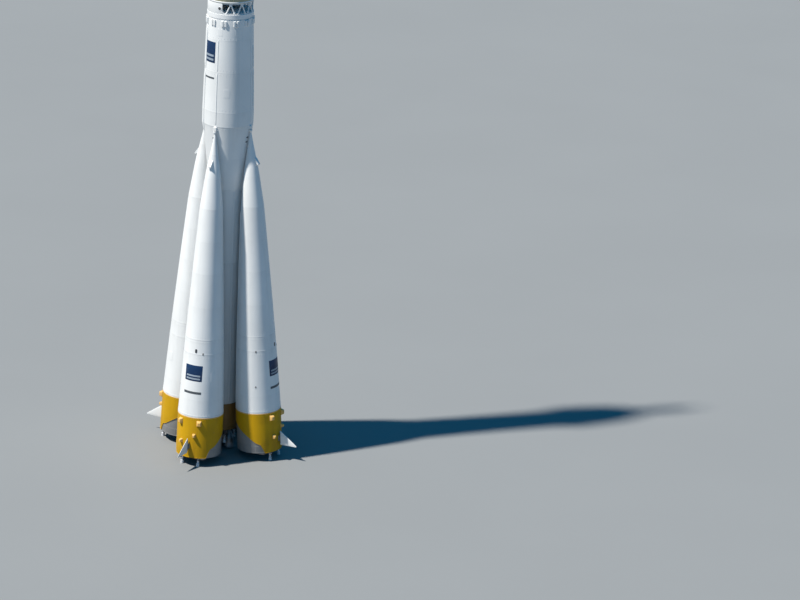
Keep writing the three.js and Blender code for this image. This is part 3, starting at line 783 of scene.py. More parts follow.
class RocketBoosterTanks(bpy.types.Operator):
    """Builds the tapering tanks of the four boosters with their hatches, ducts and brackets"""

    bl_idname = "rocket.booster_tanks"
    bl_label = "Booster tanks"

    def bracket(self, place):
        """Wedge and pad that rest on an arm: the wedge's outline carried from cheek to cheek."""
        half = BRACKET_WIDTH / 2
        section = rounded(BRACKET_WEDGE, 0.012, closed=True)
        edge = np.array([-half, 0.008 - half, half - 0.008, half])
        draw = np.array([0.985, 1.0, 1.0, 0.985])
        middle = section.mean(0)
        flat = middle + (section - middle)[None] * draw[:, None, None]
        loops = np.stack(np.broadcast_arrays(flat[..., 0], edge[:, None], flat[..., 1]), -1)
        pad = block(metres(*BRACKET_PAD["size"]), metres(*BRACKET_PAD["middle"]), 0.002)
        upright, _ = facing(place)
        return [placed(loft(loops * METRE), upright), placed(pad, upright)]

    def execute(self, context):
        """The same skin, fittings and bracket in each booster's leaning frame."""
        sizes = context.scene.rocket_sizes
        finishes = finish_list("white", "dark", "grey", "emblem", "bar")
        tip = turned(metres(*BOOSTER_TIP), 24)
        for letter, place in BOOSTER_PLACES.items():
            skin = Skin(BOOSTER_ROWS, place, BOOSTER_SOFT, BOOSTER_SEAMS)
            shells = [skin_shell(skin, sizes.sides, sizes.row_step), *self.bracket(place)]
            shells += [duct(skin, math.radians(angle), *row) for angle, *row in BOOSTER_DUCTS]
            shells += [patch(skin, math.radians(angle), *row) for angle, *row in BOOSTER_PATCHES]
            shells += stud_rings(skin, sizes.stud_radius, 0.22, 3.62, 4.85)
            shells.append(placed(tip, place))
            piece(f"booster_{letter}_skin", f"booster_{letter}_tanks", shells, finishes)
        return {"FINISHED"}


# Lower edge of the tail's cover, seen from the side. Rows of distance outboard and height.
APRON_EDGE = [
    (-1.4, -0.62), (-0.46, -1.18), (0.0, -1.48), (0.46, -1.83),
    (0.713, -1.96), (0.828, -2.2), (0.91, -2.48),
]
COVER_SIDES = 240
TAIL_BOTTOM = -2.48
SHROUD_RADIUS = SKIRT_RADIUS - WALL - GAP
SHROUD_TOP = -0.38
SHROUD_INNER = SHROUD_RADIUS - WALL
SHROUD_RIBS = np.radians([70, 100, 130, 160, 200, 230, 260, 290])
PLATE_TOP = -1.24
PLATE = 0.06
# Handling bosses on the cover. Rows of angle in degrees, height, width and tallness at the foot.
BOSSES = [
    (-26, -0.34, 0.30, 0.36), (26, -0.34, 0.30, 0.36),
    (-21, -1.55, 0.20, 0.25), (15, -1.10, 0.20, 0.25),
]
BOSS = {"inner": 1.33, "outer": 1.53, "head": 0.55}  # head's size as a share of the foot's
RUDDER_SHAFT = -1.78
CORE_TAIL_BOTTOM = -1.65


class RocketBoosterTails(bpy.types.Operator):
    """Builds the boosters' tail covers with their long outboard aprons, and the sleeves inside"""

    bl_idname = "rocket.booster_tails"
    bl_label = "Booster tails"

    def edge(self, angle):
        """Height of the cover's lower edge at an angle: the side view's, at that distance out."""
        out, height = np.array(APRON_EDGE).T
        return np.interp(SKIRT_RADIUS * np.cos(angle), out, height)

    def wall(self):
        """Sheet round the tail: angle by place along its closed section, down to the slant."""
        angle = circle(COVER_SIDES)[:, None]
        share = np.concatenate([[0, 0.004], np.linspace(0.02, 0.985, 12), [0.997, 1.0]])
        outer = SKIRT_RADIUS - np.where((share == 0) | (share == 1), 0.006, 0.0)
        inner = np.full(len(share), SKIRT_RADIUS - WALL)
        height = np.concatenate([share, share[::-1]]) * (self.edge(angle) + GAP) - GAP
        points = cylindrical(angle, np.concatenate([outer, inner]), height)
        low = np.clip((height + 0.9) / -1.2, 0, 1)
        return grid(points * METRE, (True, True), wear=low * 0.8)

    def edge_bead(self):
        """A thin bead carried along the cover's slanting edge."""
        angle, section = circle(COVER_SIDES)[:, None], circle(8)
        radius = SKIRT_RADIUS - 0.006 + 0.016 * np.cos(section)
        height = self.edge(angle) + 0.014 + 0.016 * np.sin(section)
        return grid(cylindrical(angle, radius, height) * METRE, (True, True))

    def boss(self, angle, height, width, tall):
        """Rounded block that narrows from its foot in the cover to its head."""
        size = metres(tall, width, BOSS["outer"] - BOSS["inner"])
        # Slot 2 is the pale cream paint: a painted highlight on the boss.
        standing = block(size, bevel=0.010, slot=2, taper=BOSS["head"])
        lying = standing._replace(points=standing.points[:, [2, 1, 0]])
        side = math.radians(angle)
        middle = (BOSS["inner"] + BOSS["outer"]) / 2
        return placed(lying, turned_place(side, around(side, middle, height)))

    def sleeve(self, place):
        """Grey engine sleeve: a closed ring section turned, with rims and upright ribs."""
        radius = SHROUD_RADIUS - 0.004
        skin = Skin([(TAIL_BOTTOM, radius), (SHROUD_TOP, radius)], place)
        wall = round_wall(TAIL_BOTTOM, SHROUD_TOP, SHROUD_INNER, SHROUD_RADIUS, 0.003)
        shells = [placed(wall, place)]
        shells += [hoop(skin, TAIL_BOTTOM + rise, 0.05, 0.012) for rise in (0.03, 0.42)]
        foot = TAIL_BOTTOM + 0.06
        return shells + [duct(skin, a, foot, -1.95, 0.05, 0.012, steps=8) for a in SHROUD_RIBS]

    def execute(self, context):
        """A cover and a sleeve for each booster, and the core's own tail ring."""
        stud = context.scene.rocket_sizes.stud_radius
        fixed = [self.wall(), self.edge_bead(), *(self.boss(*row) for row in BOSSES)]
        fixed.append(block(metres(0.08, 0.2, 0.3), around(0, 1.356, RUDDER_SHAFT), 0.008, 1))
        tie = block(metres(0.14, 0.24, 0.22), metres(1.105, 0, -0.26), 0.008, 1)
        down = np.linspace(-0.3, -2.3, 18)
        for letter, place in BOOSTER_PLACES.items():
            skin = Skin([(TAIL_BOTTOM, SKIRT_RADIUS), (0.0, SKIRT_RADIUS)], place)
            shells = [placed(s, place) for s in fixed]
            # The bead at the cover's top takes the pale cream paint: a painted highlight along its
            # rim.
            shells += [hoop(skin, -0.03, 0.05, 0.006, 2), placed(tie, facing(place)[0])]
            shells += stud_rings(skin, stud, -0.15, number=60)
            for angle in np.linspace(-0.8, 0.8, 5):
                shells.append(studs(skin, np.full(len(down), angle), down, stud * 0.7))
            names = ("ochre", "grey", "cream")
            node = f"booster_{letter}_tail"
            piece(f"booster_{letter}_cover", node, shells, finish_list(*names))
            name, node = f"booster_{letter}_sleeve", f"booster_{letter}_shroud"
            piece(name, node, self.sleeve(place), finish_list("grey"))
        skin = Skin([(CORE_TAIL_BOTTOM, CORE_RADIUS), (0.0, CORE_RADIUS)])
        wall = round_wall(CORE_TAIL_BOTTOM, -GAP, CORE_RADIUS - WALL, CORE_RADIUS, 0.004, 96)
        shells = [placed(wall, UPRIGHT), *(hoop(skin, h, 0.10, 0.02) for h in (-0.06, -1.5))]
        piece("core_tail_skin", "core_tail", shells, finish_list("brown"))
        return {"FINISHED"}


# Chamber outlines: depth below the plate and radius.
BELL = {
    "outside": [
        (1.4, 0.36), (1.2, 0.343), (0.9, 0.295), (0.65, 0.215), (0.5, 0.13),
        (0.42, 0.095), (0.35, 0.11), (0.23, 0.15), (-0.02, 0.15),
    ],
    "inside": [
        (0.47, 0.08), (0.53, 0.105), (0.67, 0.195), (0.9, 0.272), (1.2, 0.321), (1.4, 0.338),
    ],
    "hoops": (0.62, 0.85, 1.1),
}
THIRD_BELL = {
    "outside": [
        (0.9, 0.33), (0.75, 0.308), (0.6, 0.27), (0.45, 0.19),
        (0.33, 0.08), (0.26, 0.1), (0.18, 0.12), (-0.02, 0.12),
    ],
    "inside": [(0.37, 0.066), (0.45, 0.165), (0.6, 0.25), (0.75, 0.288), (0.9, 0.312)],
    "hoops": (0.5, 0.68),
}
# Sections added to a chamber's outline, as rows of height and radius: its lip and its hoops.
LIP = np.array(
    [(0, -0.024), (-0.006, -0.011), (0, 0.012), (0.03, 0.014), (0.045, 0), (0.03, -0.02)]
)
BELL_HOOP = np.array([(-0.02, -0.01), (-0.014, 0.012), (0.014, 0.012), (0.02, -0.01)])
FEED_RING, FEED_PIPE = 0.035, 0.03  # radii of the ring round the throat and of the pipe to it
# Main engines: chamber, its distance from the axis, the plate's underside and radius.
ENGINES = {
    "booster": (BELL, 0.594, PLATE_TOP - PLATE, SHROUD_INNER),
    "core": (BELL, 0.56, -1.5, CORE_RADIUS - WALL),
    "third": (THIRD_BELL, 0.52, THIRD_BOTTOM + 1.15, THIRD_RADIUS - WALL),
}
# Pivots of the steering chambers: distance from the axis and height.
STEERING = {"booster": (1.13, -2.6), "core": (0.82, -2.05), "third": (1.075, THIRD_BOTTOM + 0.48)}
STEERING_SIDE = math.radians(28)  # from a booster's outboard direction
CHEEK = {"thick": 0.044, "wide": 0.11, "away": 0.118}  # away: from the chamber's middle


def stages_of(group):
    """Name's beginning and frame of each body that carries one of the group's engines."""
    if group == "booster":
        return {f"booster_{letter}": place for letter, place in BOOSTER_PLACES.items()}
    return {group: UPRIGHT}


def steering_angles(group):
    """Name's ending and angle of each steering chamber round its engine's axis."""
    if group == "booster":
        return {"1": STEERING_SIDE, "2": -STEERING_SIDE}
    return {letter: azimuth_of(f"{group}_vernier_{letter}") for letter in CROSS}


def curve_rows(rows, step=0.05):
    """Rows walked at an even step, and each point inside averaged with its two neighbours."""
    rows = np.asarray(rows, float)
    walked = np.concatenate([[0], np.cumsum(np.linalg.norm(np.diff(rows, axis=0), axis=1))])
    even = np.linspace(0, walked[-1], max(8, int(walked[-1] / step)))
    walk = np.column_stack([np.interp(even, walked, column) for column in rows.T])
    inner = (walk[:-2] + 2 * walk[1:-1] + walk[2:]) / 4
    return np.vstack([walk[:1], inner, walk[-1:]])


def chamber_set(bell, offset, sides):
    """Four hollow chambers with lips, hoops and feed pipes, at a square's corners under the plate.

    Each is its rows turned about its axis: down the inside, round the lip and up the outside."""
    outside = np.array(bell["outside"])
    depth, rim = outside[0]
    rows = [curve_rows(bell[side]) * (-1, 1) for side in ("inside", "outside")]
    shells = [turned(np.vstack(rows) * METRE, sides)]
    shells.append(turned((LIP + (-depth, rim)) * METRE, sides, closed=True))
    for down in bell["hoops"]:
        radius = np.interp(down, *outside[::-1].T)
        shells.append(turned((BELL_HOOP + (-down, radius)) * METRE, sides, closed=True))
    throat, ring = outside[-3][0], outside[-2][1] + 0.02
    tube, t = circle(10), np.linspace(0, 1, 12)
    feed = cylindrical(
        circle(40)[:, None], ring + FEED_RING * np.cos(tube), FEED_RING * np.sin(tube) - throat
    )
    shells.append(grid(feed * METRE, (True, True)))
    out = ring + 0.16 * np.sin(t * math.pi / 2)
    path = np.column_stack([-out, 0 * t, (throat + 0.02) * t - throat])
    shells.append(rod(path * METRE, FEED_PIPE * METRE))
    corners = [turned_place(a, around(a, offset)) for a in circle(4) + math.pi / 4]
    return copies(merged(shells), corners)


def plate(radius):
    """Round closing plate with radial ribs and a centre boss, seen from below."""
    disc = turned(metres((0, radius - GAP), (PLATE, radius - GAP)), 96)
    rib = block(metres(radius * 0.55, 0.03, 0.05), metres(radius * 0.66, 0, -0.02), 0.003)
    fan = copies(rib, [turned_place(a + 0.13) for a in circle(12)])
    boss = turned(metres((-0.12, 0.10), (-0.10, 0.14), (0.0, 0.16)), 32)
    return [disc, fan, boss]


def carrier(angle, radius, height, plate_height):
    """Two cheeks with round eyes that hold a steering chamber's shaft, down from the plate."""
    foot, top = 0.04, plate_height - height + 0.03
    half, away = CHEEK["thick"] / 2, CHEEK["away"]
    section = np.array([(-half, 0.049), (-half, 0.072), (half, 0.072), (half, 0.049)])
    across, reach = section.T[..., None]
    eye = cylindrical(circle(24), reach, across)[..., [2, 0, 1]]
    size = metres(CHEEK["thick"], CHEEK["wide"], top - foot)
    shells = []
    for x in (-away, away):
        shells.append(block(size, metres(x, 0, (top + foot) / 2), 0.003))
        shells.append(grid((eye + (x, 0, 0)) * METRE, (True, True)))
    place = turned_place(angle, around(angle, radius, height))
    return [placed(s, place) for s in shells]


class RocketEngines(bpy.types.Operator):
    """Builds the main chambers, plates and carriers of boosters, core and third stage"""

    bl_idname = "rocket.engines"
    bl_label = "Engines"

    def execute(self, context):
        """One set of chambers, plate and carriers for each kind of stage, copied to its places."""
        finishes = finish_list("chamber", "plate")
        for group, (bell, offset, low, radius) in ENGINES.items():
            lift = turned_place(0, metres(0, 0, low))
            chambers = chamber_set(bell, offset, context.scene.rocket_sizes.bell_sides)
            dark = [placed(s, lift) for s in plate(radius)]
            for angle in steering_angles(group).values():
                dark += carrier(angle, *STEERING[group], low)
            parts = [placed(chambers, lift), *(s._replace(slot=1) for s in dark)]
            for stage, place in stages_of(group).items():
                shells = [placed(s, place) for s in parts]
                piece(f"{stage}_chambers", f"{stage}_engine", shells, finishes)
        return {"FINISHED"}


# Steering chamber: rows of depth below its pivot's level and radius.
STEERING_OUTSIDE = [
    (0.48, 0.105), (0.40, 0.097), (0.33, 0.082), (0.26, 0.06),
    (0.21, 0.045), (0.17, 0.055), (0.13, 0.062), (0.03, 0.062),
]
STEERING_INSIDE = [(0.24, 0.038), (0.28, 0.05), (0.33, 0.07), (0.40, 0.085), (0.48, 0.093)]
STEERING_COLLAR = [(-0.30, 0.09), (-0.29, 0.10), (-0.26, 0.10), (-0.25, 0.07)]


class RocketSteering(bpy.types.Operator):
    """Builds the swinging steering chambers"""

    bl_idname = "rocket.steering"
    bl_label = "Steering chambers"

    def chamber(self):
        """Small hollow chamber on a cross shaft along X, with its pivot at the origin."""
        rows = [curve_rows(side, 0.02) * (-1, 1) for side in (STEERING_INSIDE, STEERING_OUTSIDE)]
        body = turned((np.vstack(rows) + (0.04, 0)) * METRE, 32)
        shaft = metres((-0.115, 0, 0), (-0.11, 0, 0), (0.11, 0, 0), (0.115, 0, 0))
        shaft = rod(shaft, metres(0.04, 0.045, 0.045, 0.04), 20)
        collar = turned(metres(*STEERING_COLLAR), 32, closed=True)
        t = np.linspace(0, 1, 14)
        line = cylindrical(t * 2.0, 0.07, -0.02 - 0.22 * t)
        return [body, shaft, collar, rod(line * METRE, 0.009 * METRE, 8)]

    def execute(self, context):
        """The same chamber turned to its shaft's direction at each pivot."""
        finishes = finish_list("nozzle")
        chamber = self.chamber()
        for group, pivot in STEERING.items():
            for stage, place in stages_of(group).items():
                for ending, angle in steering_angles(group).items():
                    spot = turned_place(angle, around(angle, *pivot))
                    shells = [placed(placed(s, spot), place) for s in chamber]
                    node = f"{stage}_vernier_{ending}"
                    piece(node + "_chamber", node, shells, finishes, node)
        return {"FINISHED"}


# Air rudder: distances of root and tip from its booster's axis, its edges there, counted from its
# shaft, and its thickness.
RUDDER = {
    "root": 1.44,
    "tip": 2.5,
    "top": (0.48, -0.36),
    "bottom": (-0.40, -0.42),
    "thick": (0.085, 0.024),
}
RUDDER_CURVE = 0.62  # exponent of the sine that gives the blade's thickness along its chord
SCREW_LINE = 0.11  # how far below the leading edge the screws sit


class RocketRudders(bpy.types.Operator):
    """Builds the swept air rudders"""

    bl_idname = "rocket.rudders"
    bl_label = "Air rudders"

    def corners(self, x):
        """Top, bottom and thickness of the blade at a distance from the booster's axis."""
        span = (RUDDER["root"], RUDDER["tip"])
        return [np.interp(x, span, RUDDER[key]) for key in ("top", "bottom", "thick")]

    def blade(self):
        """Symmetric thin wing: from root to tip, round each chord a lens with a blunt tail."""
        share = np.concatenate([[0, 0.004], np.linspace(0.03, 0.97, 22), [0.995, 1.0]])[:, None]
        x = RUDDER["root"] + (RUDDER["tip"] - RUDDER["root"]) * share
        top, bottom, thick = self.corners(x)
        thick = thick * np.where((share == 0) | (share == 1), 0.75, 1)
        c, s = np.cos(circle(40)), np.sin(circle(40))
        across = thick * (0.5 * np.sign(s) * np.abs(s) ** RUDDER_CURVE)
        height = bottom + (top - bottom) * (1 + c) / 2
        return loft(np.stack(np.broadcast_arrays(x, across, height), -1) * METRE)

    def screws(self):
        """Screw heads a fixed way below the blade's leading edge, on both its faces."""
        dome = turned(metres((-0.004, 0.012), (0.003, 0.012), (0.006, 0.005)), 8)
        made = []
        for x in np.arange(1.50, 2.2, 0.16):
            top, bottom, thick = self.corners(x)
            chord = 1 - SCREW_LINE / (top - bottom)
            half = 0.5 * thick * math.sin(math.acos(2 * chord - 1)) ** RUDDER_CURVE
            for side in (-1, 1):
                lying = dome.points[:, [0, 2, 1]] * (1, side, 1)
                spot = metres(x, side * half, top - SCREW_LINE)
                made.append(dome._replace(points=lying + spot))
        return made

    def execute(self, context):
        """The same rudder in each booster's leaning frame."""
        spot = turned_place(0, metres(0, 0, RUDDER_SHAFT))
        shaft = rod(metres((1.3956, 0, 0), (1.46, 0, 0)), 0.045 * METRE, 24, 1)
        root = block(metres(0.035, 0.11, 0.68), metres(1.455, 0, 0.04), 0.004, 1)
        ends = [(x, 0, z + 0.002) for x, z in zip((1.45, 2.49), RUDDER["bottom"])]
        edge = rod(metres(*ends), metres(0.014, 0.010))
        parts = [placed(s, spot) for s in (self.blade(), shaft, root, edge, *self.screws())]
        finishes = finish_list("rudder", "grey")
        for letter, place in BOOSTER_PLACES.items():
            shells = [placed(s, place) for s in parts]
            node = f"booster_{letter}_rudder"
            piece(node + "_blade", node, shells, finishes, node)
        return {"FINISHED"}


CAMERA_SIDE = math.radians(-106.04)  # direction of the camera round the rocket
DUCT_ANGLE = math.radians(178)
PIPE_ANGLE = math.radians(-31)
CORE_PANEL_ANGLE = CAMERA_SIDE + math.radians(-59)
# Ducts up the core. Rows of angle, bottom, top, width, how far they stand out.
WIDE_DUCTS = [(DUCT_ANGLE, 16.7, 20.36, 0.34, 0.05), (PIPE_ANGLE, 18.15, 20.36, 0.14, 0.045)]
BAY_DUCTS = [(DUCT_ANGLE, 20.44, 23.1, 0.34, 0.05), (PIPE_ANGLE, 20.44, 21.85, 0.14, 0.045)]
# Cup over a booster's tip, and the socket in it: bottom, top, inner and outer radius.
CUP = {"size": (0.5, 0.21, 0.27), "middle": (1.29, 0, 17.065)}
SOCKET = (16.86, 16.95, 0.085, 0.12)
# Fittings near each cup. Rows of angle off the booster's, height, width, tallness, lift, corner,
# finish.
CUP_PATCHES = [
    (-0.105, 16.47, 0.18, 0.07, 0.010, 0.02, 1),
    (-0.125, 16.2, 0.18, 0.07, 0.010, 0.02, 1),
    (0.19, 12.5, 0.09, 0.36, 0.010, 0.03, 2),
    (0.42, 19.2, 0.4, 0.5, 0.004, 0.06, 0),
]
OPPOSITE = (0.0, math.pi)


class RocketCore(bpy.types.Operator):
    """Builds the core stage's tanks, bay, collar, ducts and cups"""

    bl_idname = "rocket.core"
    bl_label = "Core stage"

    def wide_tank(self, sizes, low_ducts):
        """Turned skin of the wide tank with ducts, cups, sockets, panels and screws."""
        wide = Skin(CORE_WIDE_ROWS, soft=0.12, seams=CORE_SEAMS)
        shells = [skin_shell(wide, sizes.sides, sizes.row_step)]
        shells += [duct(wide, a, 8.85, 13.2, 0.12, 0.03) for a in low_ducts]
        shells += [duct(wide, *row) for row in WIDE_DUCTS]
        cup = block(metres(*CUP["size"]), metres(*CUP["middle"]), 0.02)
        socket = turned(wall_section(*SOCKET), 24, closed=True)
        for place in BOOSTER_PLACES.values():
            upright, angle = facing(place)
            shells += [placed(cup, upright), placed(socket, place)]
            shells += [patch(wide, angle + away, *row) for away, *row in CUP_PATCHES]
            shells.append(duct(wide, angle, 17.3, 20.36, 0.07, 0.02))
        shells += stud_rings(wide, sizes.stud_radius, 17.08, 18.2, 20.27)
        for away in OPPOSITE:
            shells.append(patch(wide, CORE_PANEL_ANGLE + away, 20.02, 1.10, 0.10, 0.006, 0.01, 4))
        return shells

    def bay(self, sizes):
        """Turned skin of the bay, its collar and the dome over it, with ducts, lugs and hatches."""
        bay = Skin(CORE_BAY_ROWS, seams=CORE_SEAMS)
        groove, lower, upper = COLLAR
        angles = np.linspace(0, 1.5, 16)
        top = [
            (groove, 1.29), (lower, 1.29), (lower, 1.33), (lower + 0.01, 1.338),
            (upper - 0.01, 1.338), (upper, 1.33), (upper, 1.2), (upper - 0.04, 1.2),
            *zip(upper - 0.04 + 0.33 * np.sin(angles), 1.18 * np.cos(angles)),
        ]
        heights = bay.levels(sizes.row_step)
        rows = np.vstack([np.column_stack([heights, bay.radius(heights)]), metres(*top)])
        stain = np.concatenate([bay.stain(heights), np.zeros(len(top))])
        shells = [placed(turned(rows, sizes.sides, wear=stain), UPRIGHT)]
        shells += [duct(bay, *row) for row in BAY_DUCTS]
        for letter in BOOSTERS:
            shells.append(duct(bay, azimuth_of(f"booster_{letter}_tail"), 20.44, 22.3, 0.07, 0.02))
        for away in OPPOSITE:
            shells.append(patch(bay, CORE_PANEL_ANGLE + away, 21.52, 1.10, 1.22, 0.006, 0.02, 3))
        for angle in CAMERA_SIDE + 0.35 + circle(8):
            shells.append(patch(bay, angle, 22.75, 0.34, 0.42, 0.004, 0.05))
        shells += stud_rings(bay, sizes.stud_radius, 20.53, 22.4)
        pairs = [a + s * V_SPREAD for a in CAMERA_SIDE + circle(12) for s in (-1, 1)]
        lug = block(metres(0.09, 0.13, 0.34), metres(0.03, 0, 0), 0.01)
        shells.append(copies(lug, [bay.place_on(a, 23.28 * METRE) for a in pairs]))
        tooth = block(metres(0.05, 0.05, 0.03), metres(1.31, 0, upper + 0.006), 0.003)
        shells.append(placed(copies(tooth, [turned_place(a) for a in circle(48)]), UPRIGHT))
        return shells

    def execute(self, context):
        """Lower tank, wide tank and bay, each a turned skin with what it carries."""
        sizes = context.scene.rocket_sizes
        low_ducts = [azimuth_of(f"core_vernier_{letter}") + 0.2 for letter in CROSS]
        low = Skin(CORE_LOW_ROWS, seams=CORE_SEAMS)
        shells = [skin_shell(low, 96, sizes.row_step * 2)]
        shells += [duct(low, a, 0.2, 8.7, 0.12, 0.03) for a in low_ducts]
        piece("core_fuel_skin", "core_fuel_tank", shells, finish_list("core"))
        finishes = finish_list("core", "dark", "grey", "emblem", "bar")
        shells = self.wide_tank(sizes, low_ducts)
        piece("core_wide_skin", "core_oxidizer_tank", shells, finishes)
        piece("core_bay_skin", "core_top_bay", self.bay(sizes), finishes)
        return {"FINISHED"}


# Interstage: level and height, outer and inner radius of its rings, and where its bars stand.
LATTICE = {"bottom": 23.8006, "height": 0.65, "outer": 1.3, "inner": 1.215, "line": 1.262}
LATTICE_START = math.radians(-106)
V_SPREAD = math.radians(11)  # from a V's head to each of its feet
FLANGE, WEB, LEG = 0.06, 0.012, 0.03  # a ring's height, and thickness and depth of its flanges
# Bar: shares of its length, and its radius there as a share of the bar's own.
BAR_SHARES = np.array([0, 0.03, 0.13, 0.16, 0.84, 0.87, 0.97, 1])[:, None]
BAR_RADII = np.array([1.25, 1.35, 1.35, 1.0, 1.0, 1.35, 1.35, 1.25])
CLOSED_PANEL = {"from": math.radians(-190), "to": math.radians(-127), "radius": 1.324}
EYE = {"angle": math.radians(-134), "height": 0.33}
EYE_RIM = [(-0.02, 0.085), (0.012, 0.09), (0.012, 0.12), (-0.02, 0.125)]


class RocketInterstage(bpy.types.Operator):
    """Builds the open lattice between core and third stage"""

    bl_idname = "rocket.interstage"
    bl_label = "Interstage lattice"

    def ring(self, low):
        """Ring with flanges on both sides of its upright wall: its closed section turned."""
        high, inner, outer = low + FLANGE, LATTICE["inner"], LATTICE["outer"]
        section = [
            (low, inner), (low, outer), (low + WEB, outer), (low + WEB, outer - LEG),
            (high - WEB, outer - LEG), (high - WEB, outer), (high, outer), (high, inner),
            (high - WEB, inner), (high - WEB, inner + LEG), (low + WEB, inner + LEG),
            (low + WEB, inner),
        ]
        return turned(metres(*section), 144, closed=True)

    def frames(self, bar, bottom, top):
        """Twelve V frames: from each seat under the upper ring, two bars to seats on the lower."""
        line = LATTICE["line"]
        shells = []
        for apex in LATTICE_START + circle(12):
            head = around(apex, line, top - 0.045)
            for angle in (apex - V_SPREAD, apex + V_SPREAD):
                foot = around(angle, line, bottom + 0.045)
                shells.append(rod(foot + (head - foot) * BAR_SHARES, bar * BAR_RADII, 12))
                seat = block(metres(0.10, 0.15, 0.07))
                shells.append(placed(seat, turned_place(angle, foot - metres(0, 0, 0.012))))
            seat = block(metres(0.10, 0.2, 0.08))
            shells.append(placed(seat, turned_place(apex, head + metres(0, 0, 0.01))))
        return shells

    def closed_panel(self, bottom, top):
        """Curved sheet, its section carried round part of the ring, and the rimmed eye in it."""
        reach = CLOSED_PANEL["radius"]
        angle = np.linspace(CLOSED_PANEL["from"], CLOSED_PANEL["to"], 60)[:, None]
        section = rounded([(bottom, 1.30), (bottom, reach), (top, reach), (top, 1.30)], 0.008, True)
        sheet = loft(cylindrical(angle, section[:, 1], section[:, 0]) * METRE)
        rim = turned(metres(*EYE_RIM), 24, closed=True)
        # The eye is closed by a dark-painted disc inside its rim: painted shade standing in for the
        # dark opening of the hole.
        eye = turned(metres((-0.03, 0.09), (0.004, 0.09)), 24, slot=1)
        side = EYE["angle"]
        spot = turned_place(side, around(side, reach, bottom + EYE["height"]))
        return [sheet, placed(laid(rim), spot), placed(laid(eye), spot)]

    def execute(self, context):
        """Two rings, twelve V frames, their seats, and the closed panel with its eye."""
        bottom = LATTICE["bottom"]
        top = bottom + LATTICE["height"]
        shells = [self.ring(bottom), self.ring(top - FLANGE)]
        shells += self.frames(context.scene.rocket_sizes.truss_bar, bottom, top)
        shells += self.closed_panel(bottom, top)
        shells = [placed(s, UPRIGHT) for s in shells]
        piece("interstage_lattice", "interstage_truss", shells, finish_list("white", "dark"))
        return {"FINISHED"}


class RocketThirdStage(bpy.types.Operator):
    """Builds the third stage's tail and tanks"""

    bl_idname = "rocket.third_stage"
    bl_label = "Third stage"

    def execute(self, context):
        """Ribbed tail ring and tank, both turned about the rocket's axis."""
        sizes = context.scene.rocket_sizes
        low, high = THIRD_BOTTOM, THIRD_TAIL_TOP - GAP
        tail = Skin([(low, THIRD_RADIUS), (high, THIRD_RADIUS)])
        shells = [placed(round_wall(low, high, THIRD_RADIUS - WALL, THIRD_RADIUS, 0.004), UPRIGHT)]
        shells += [hoop(tail, low + 0.06, 0.09, 0.015, 1), hoop(tail, low + 0.85, 0.06, 0.010)]
        for angle in circle(36) + 0.02:
            shells.append(duct(tail, angle, low + 0.12, high - 0.1, 0.035, 0.016, steps=12))
        finishes = finish_list("olive", "white")
        piece("third_tail_skin", "third_tail", shells, finishes)

        low, high = THIRD_TAIL_TOP, THIRD_TOP
        tank = Skin([(low, THIRD_RADIUS), (high, THIRD_RADIUS)], seams=THIRD_SEAMS)
        shells = [skin_shell(tank, sizes.sides, sizes.row_step)]
        shells += stud_rings(tank, sizes.stud_radius, low + 0.14, high - 0.24)
        shells.append(duct(tank, DUCT_ANGLE, low + 0.2, high - 0.2, 0.26, 0.05))
        shells.append(duct(tank, DUCT_ANGLE + math.pi, low + 0.2, high - 0.9, 0.13, 0.05))
        for angle in circle(6) + 0.4:
            shells.append(patch(tank, angle, high - 0.62, 0.42, 0.5, 0.012, 0.06))
        piece("third_tank_skin", "third_tank", shells, finish_list("white", "dark", "grey"))
        return {"FINISHED"}


# Nose, with all heights over its foot. Rows of height and radius.
ADAPTER_ROWS = [(0.0, 1.33), (0.2994, 1.335)]
FAIRING_ROWS = [(0.3, 1.335), (0.9, 1.485), (4.7, 1.485)]
FAIRING_NOSE_ROWS = [
    (4.7006, 1.485), (5.3, 1.45), (6.5, 1.27), (7.7, 0.96), (8.7, 0.6), (9.15, 0.43),
]
TOWER_ROWS = [
    (9.1506, 0.43), (9.45, 0.375), (12.6, 0.375), (12.75, 0.30), (13.5, 0.30),
    (13.7, 0.21), (15.0, 0.21), (15.45, 0.09), (15.64, 0.004),
]
# Seams of the nose: height, half width, how far they stand proud.
FAIRING_SEAMS = [(0.95, 0.03, 0.01), (2.9, 0.02, 0.007), (4.6, 0.03, 0.01)]
FAIRING_NOSE_SEAMS = [(4.80, 0.03, 0.01), (7.2, 0.02, 0.007), (8.95, 0.03, 0.01)]
TOWER_SEAMS = [
    (9.25, 0.03, 0.012), (10.4, 0.02, 0.008), (11.5, 0.02, 0.008),
    (13.45, 0.02, 0.008), (14.9, 0.02, 0.008),
]
TOWER_NOZZLE = [(-0.26, 0.085), (-0.25, 0.092), (0.0, 0.062), (0.26, 0.04)]
NOZZLE_CANT = math.radians(30)
# Grid fin: its size, the bars across it each way, its hinge's height and distance from the axis.
FIN = {"tall": 1.25, "wide": 1.15, "deep": 0.11, "meshes": 12, "hinge": 1.5, "away": 1.555}


def over_nose(rows):
    """Rows that begin with a height over the nose's foot, with heights over the tails' top."""
    return [(NOSE + height, *rest) for height, *rest in rows]


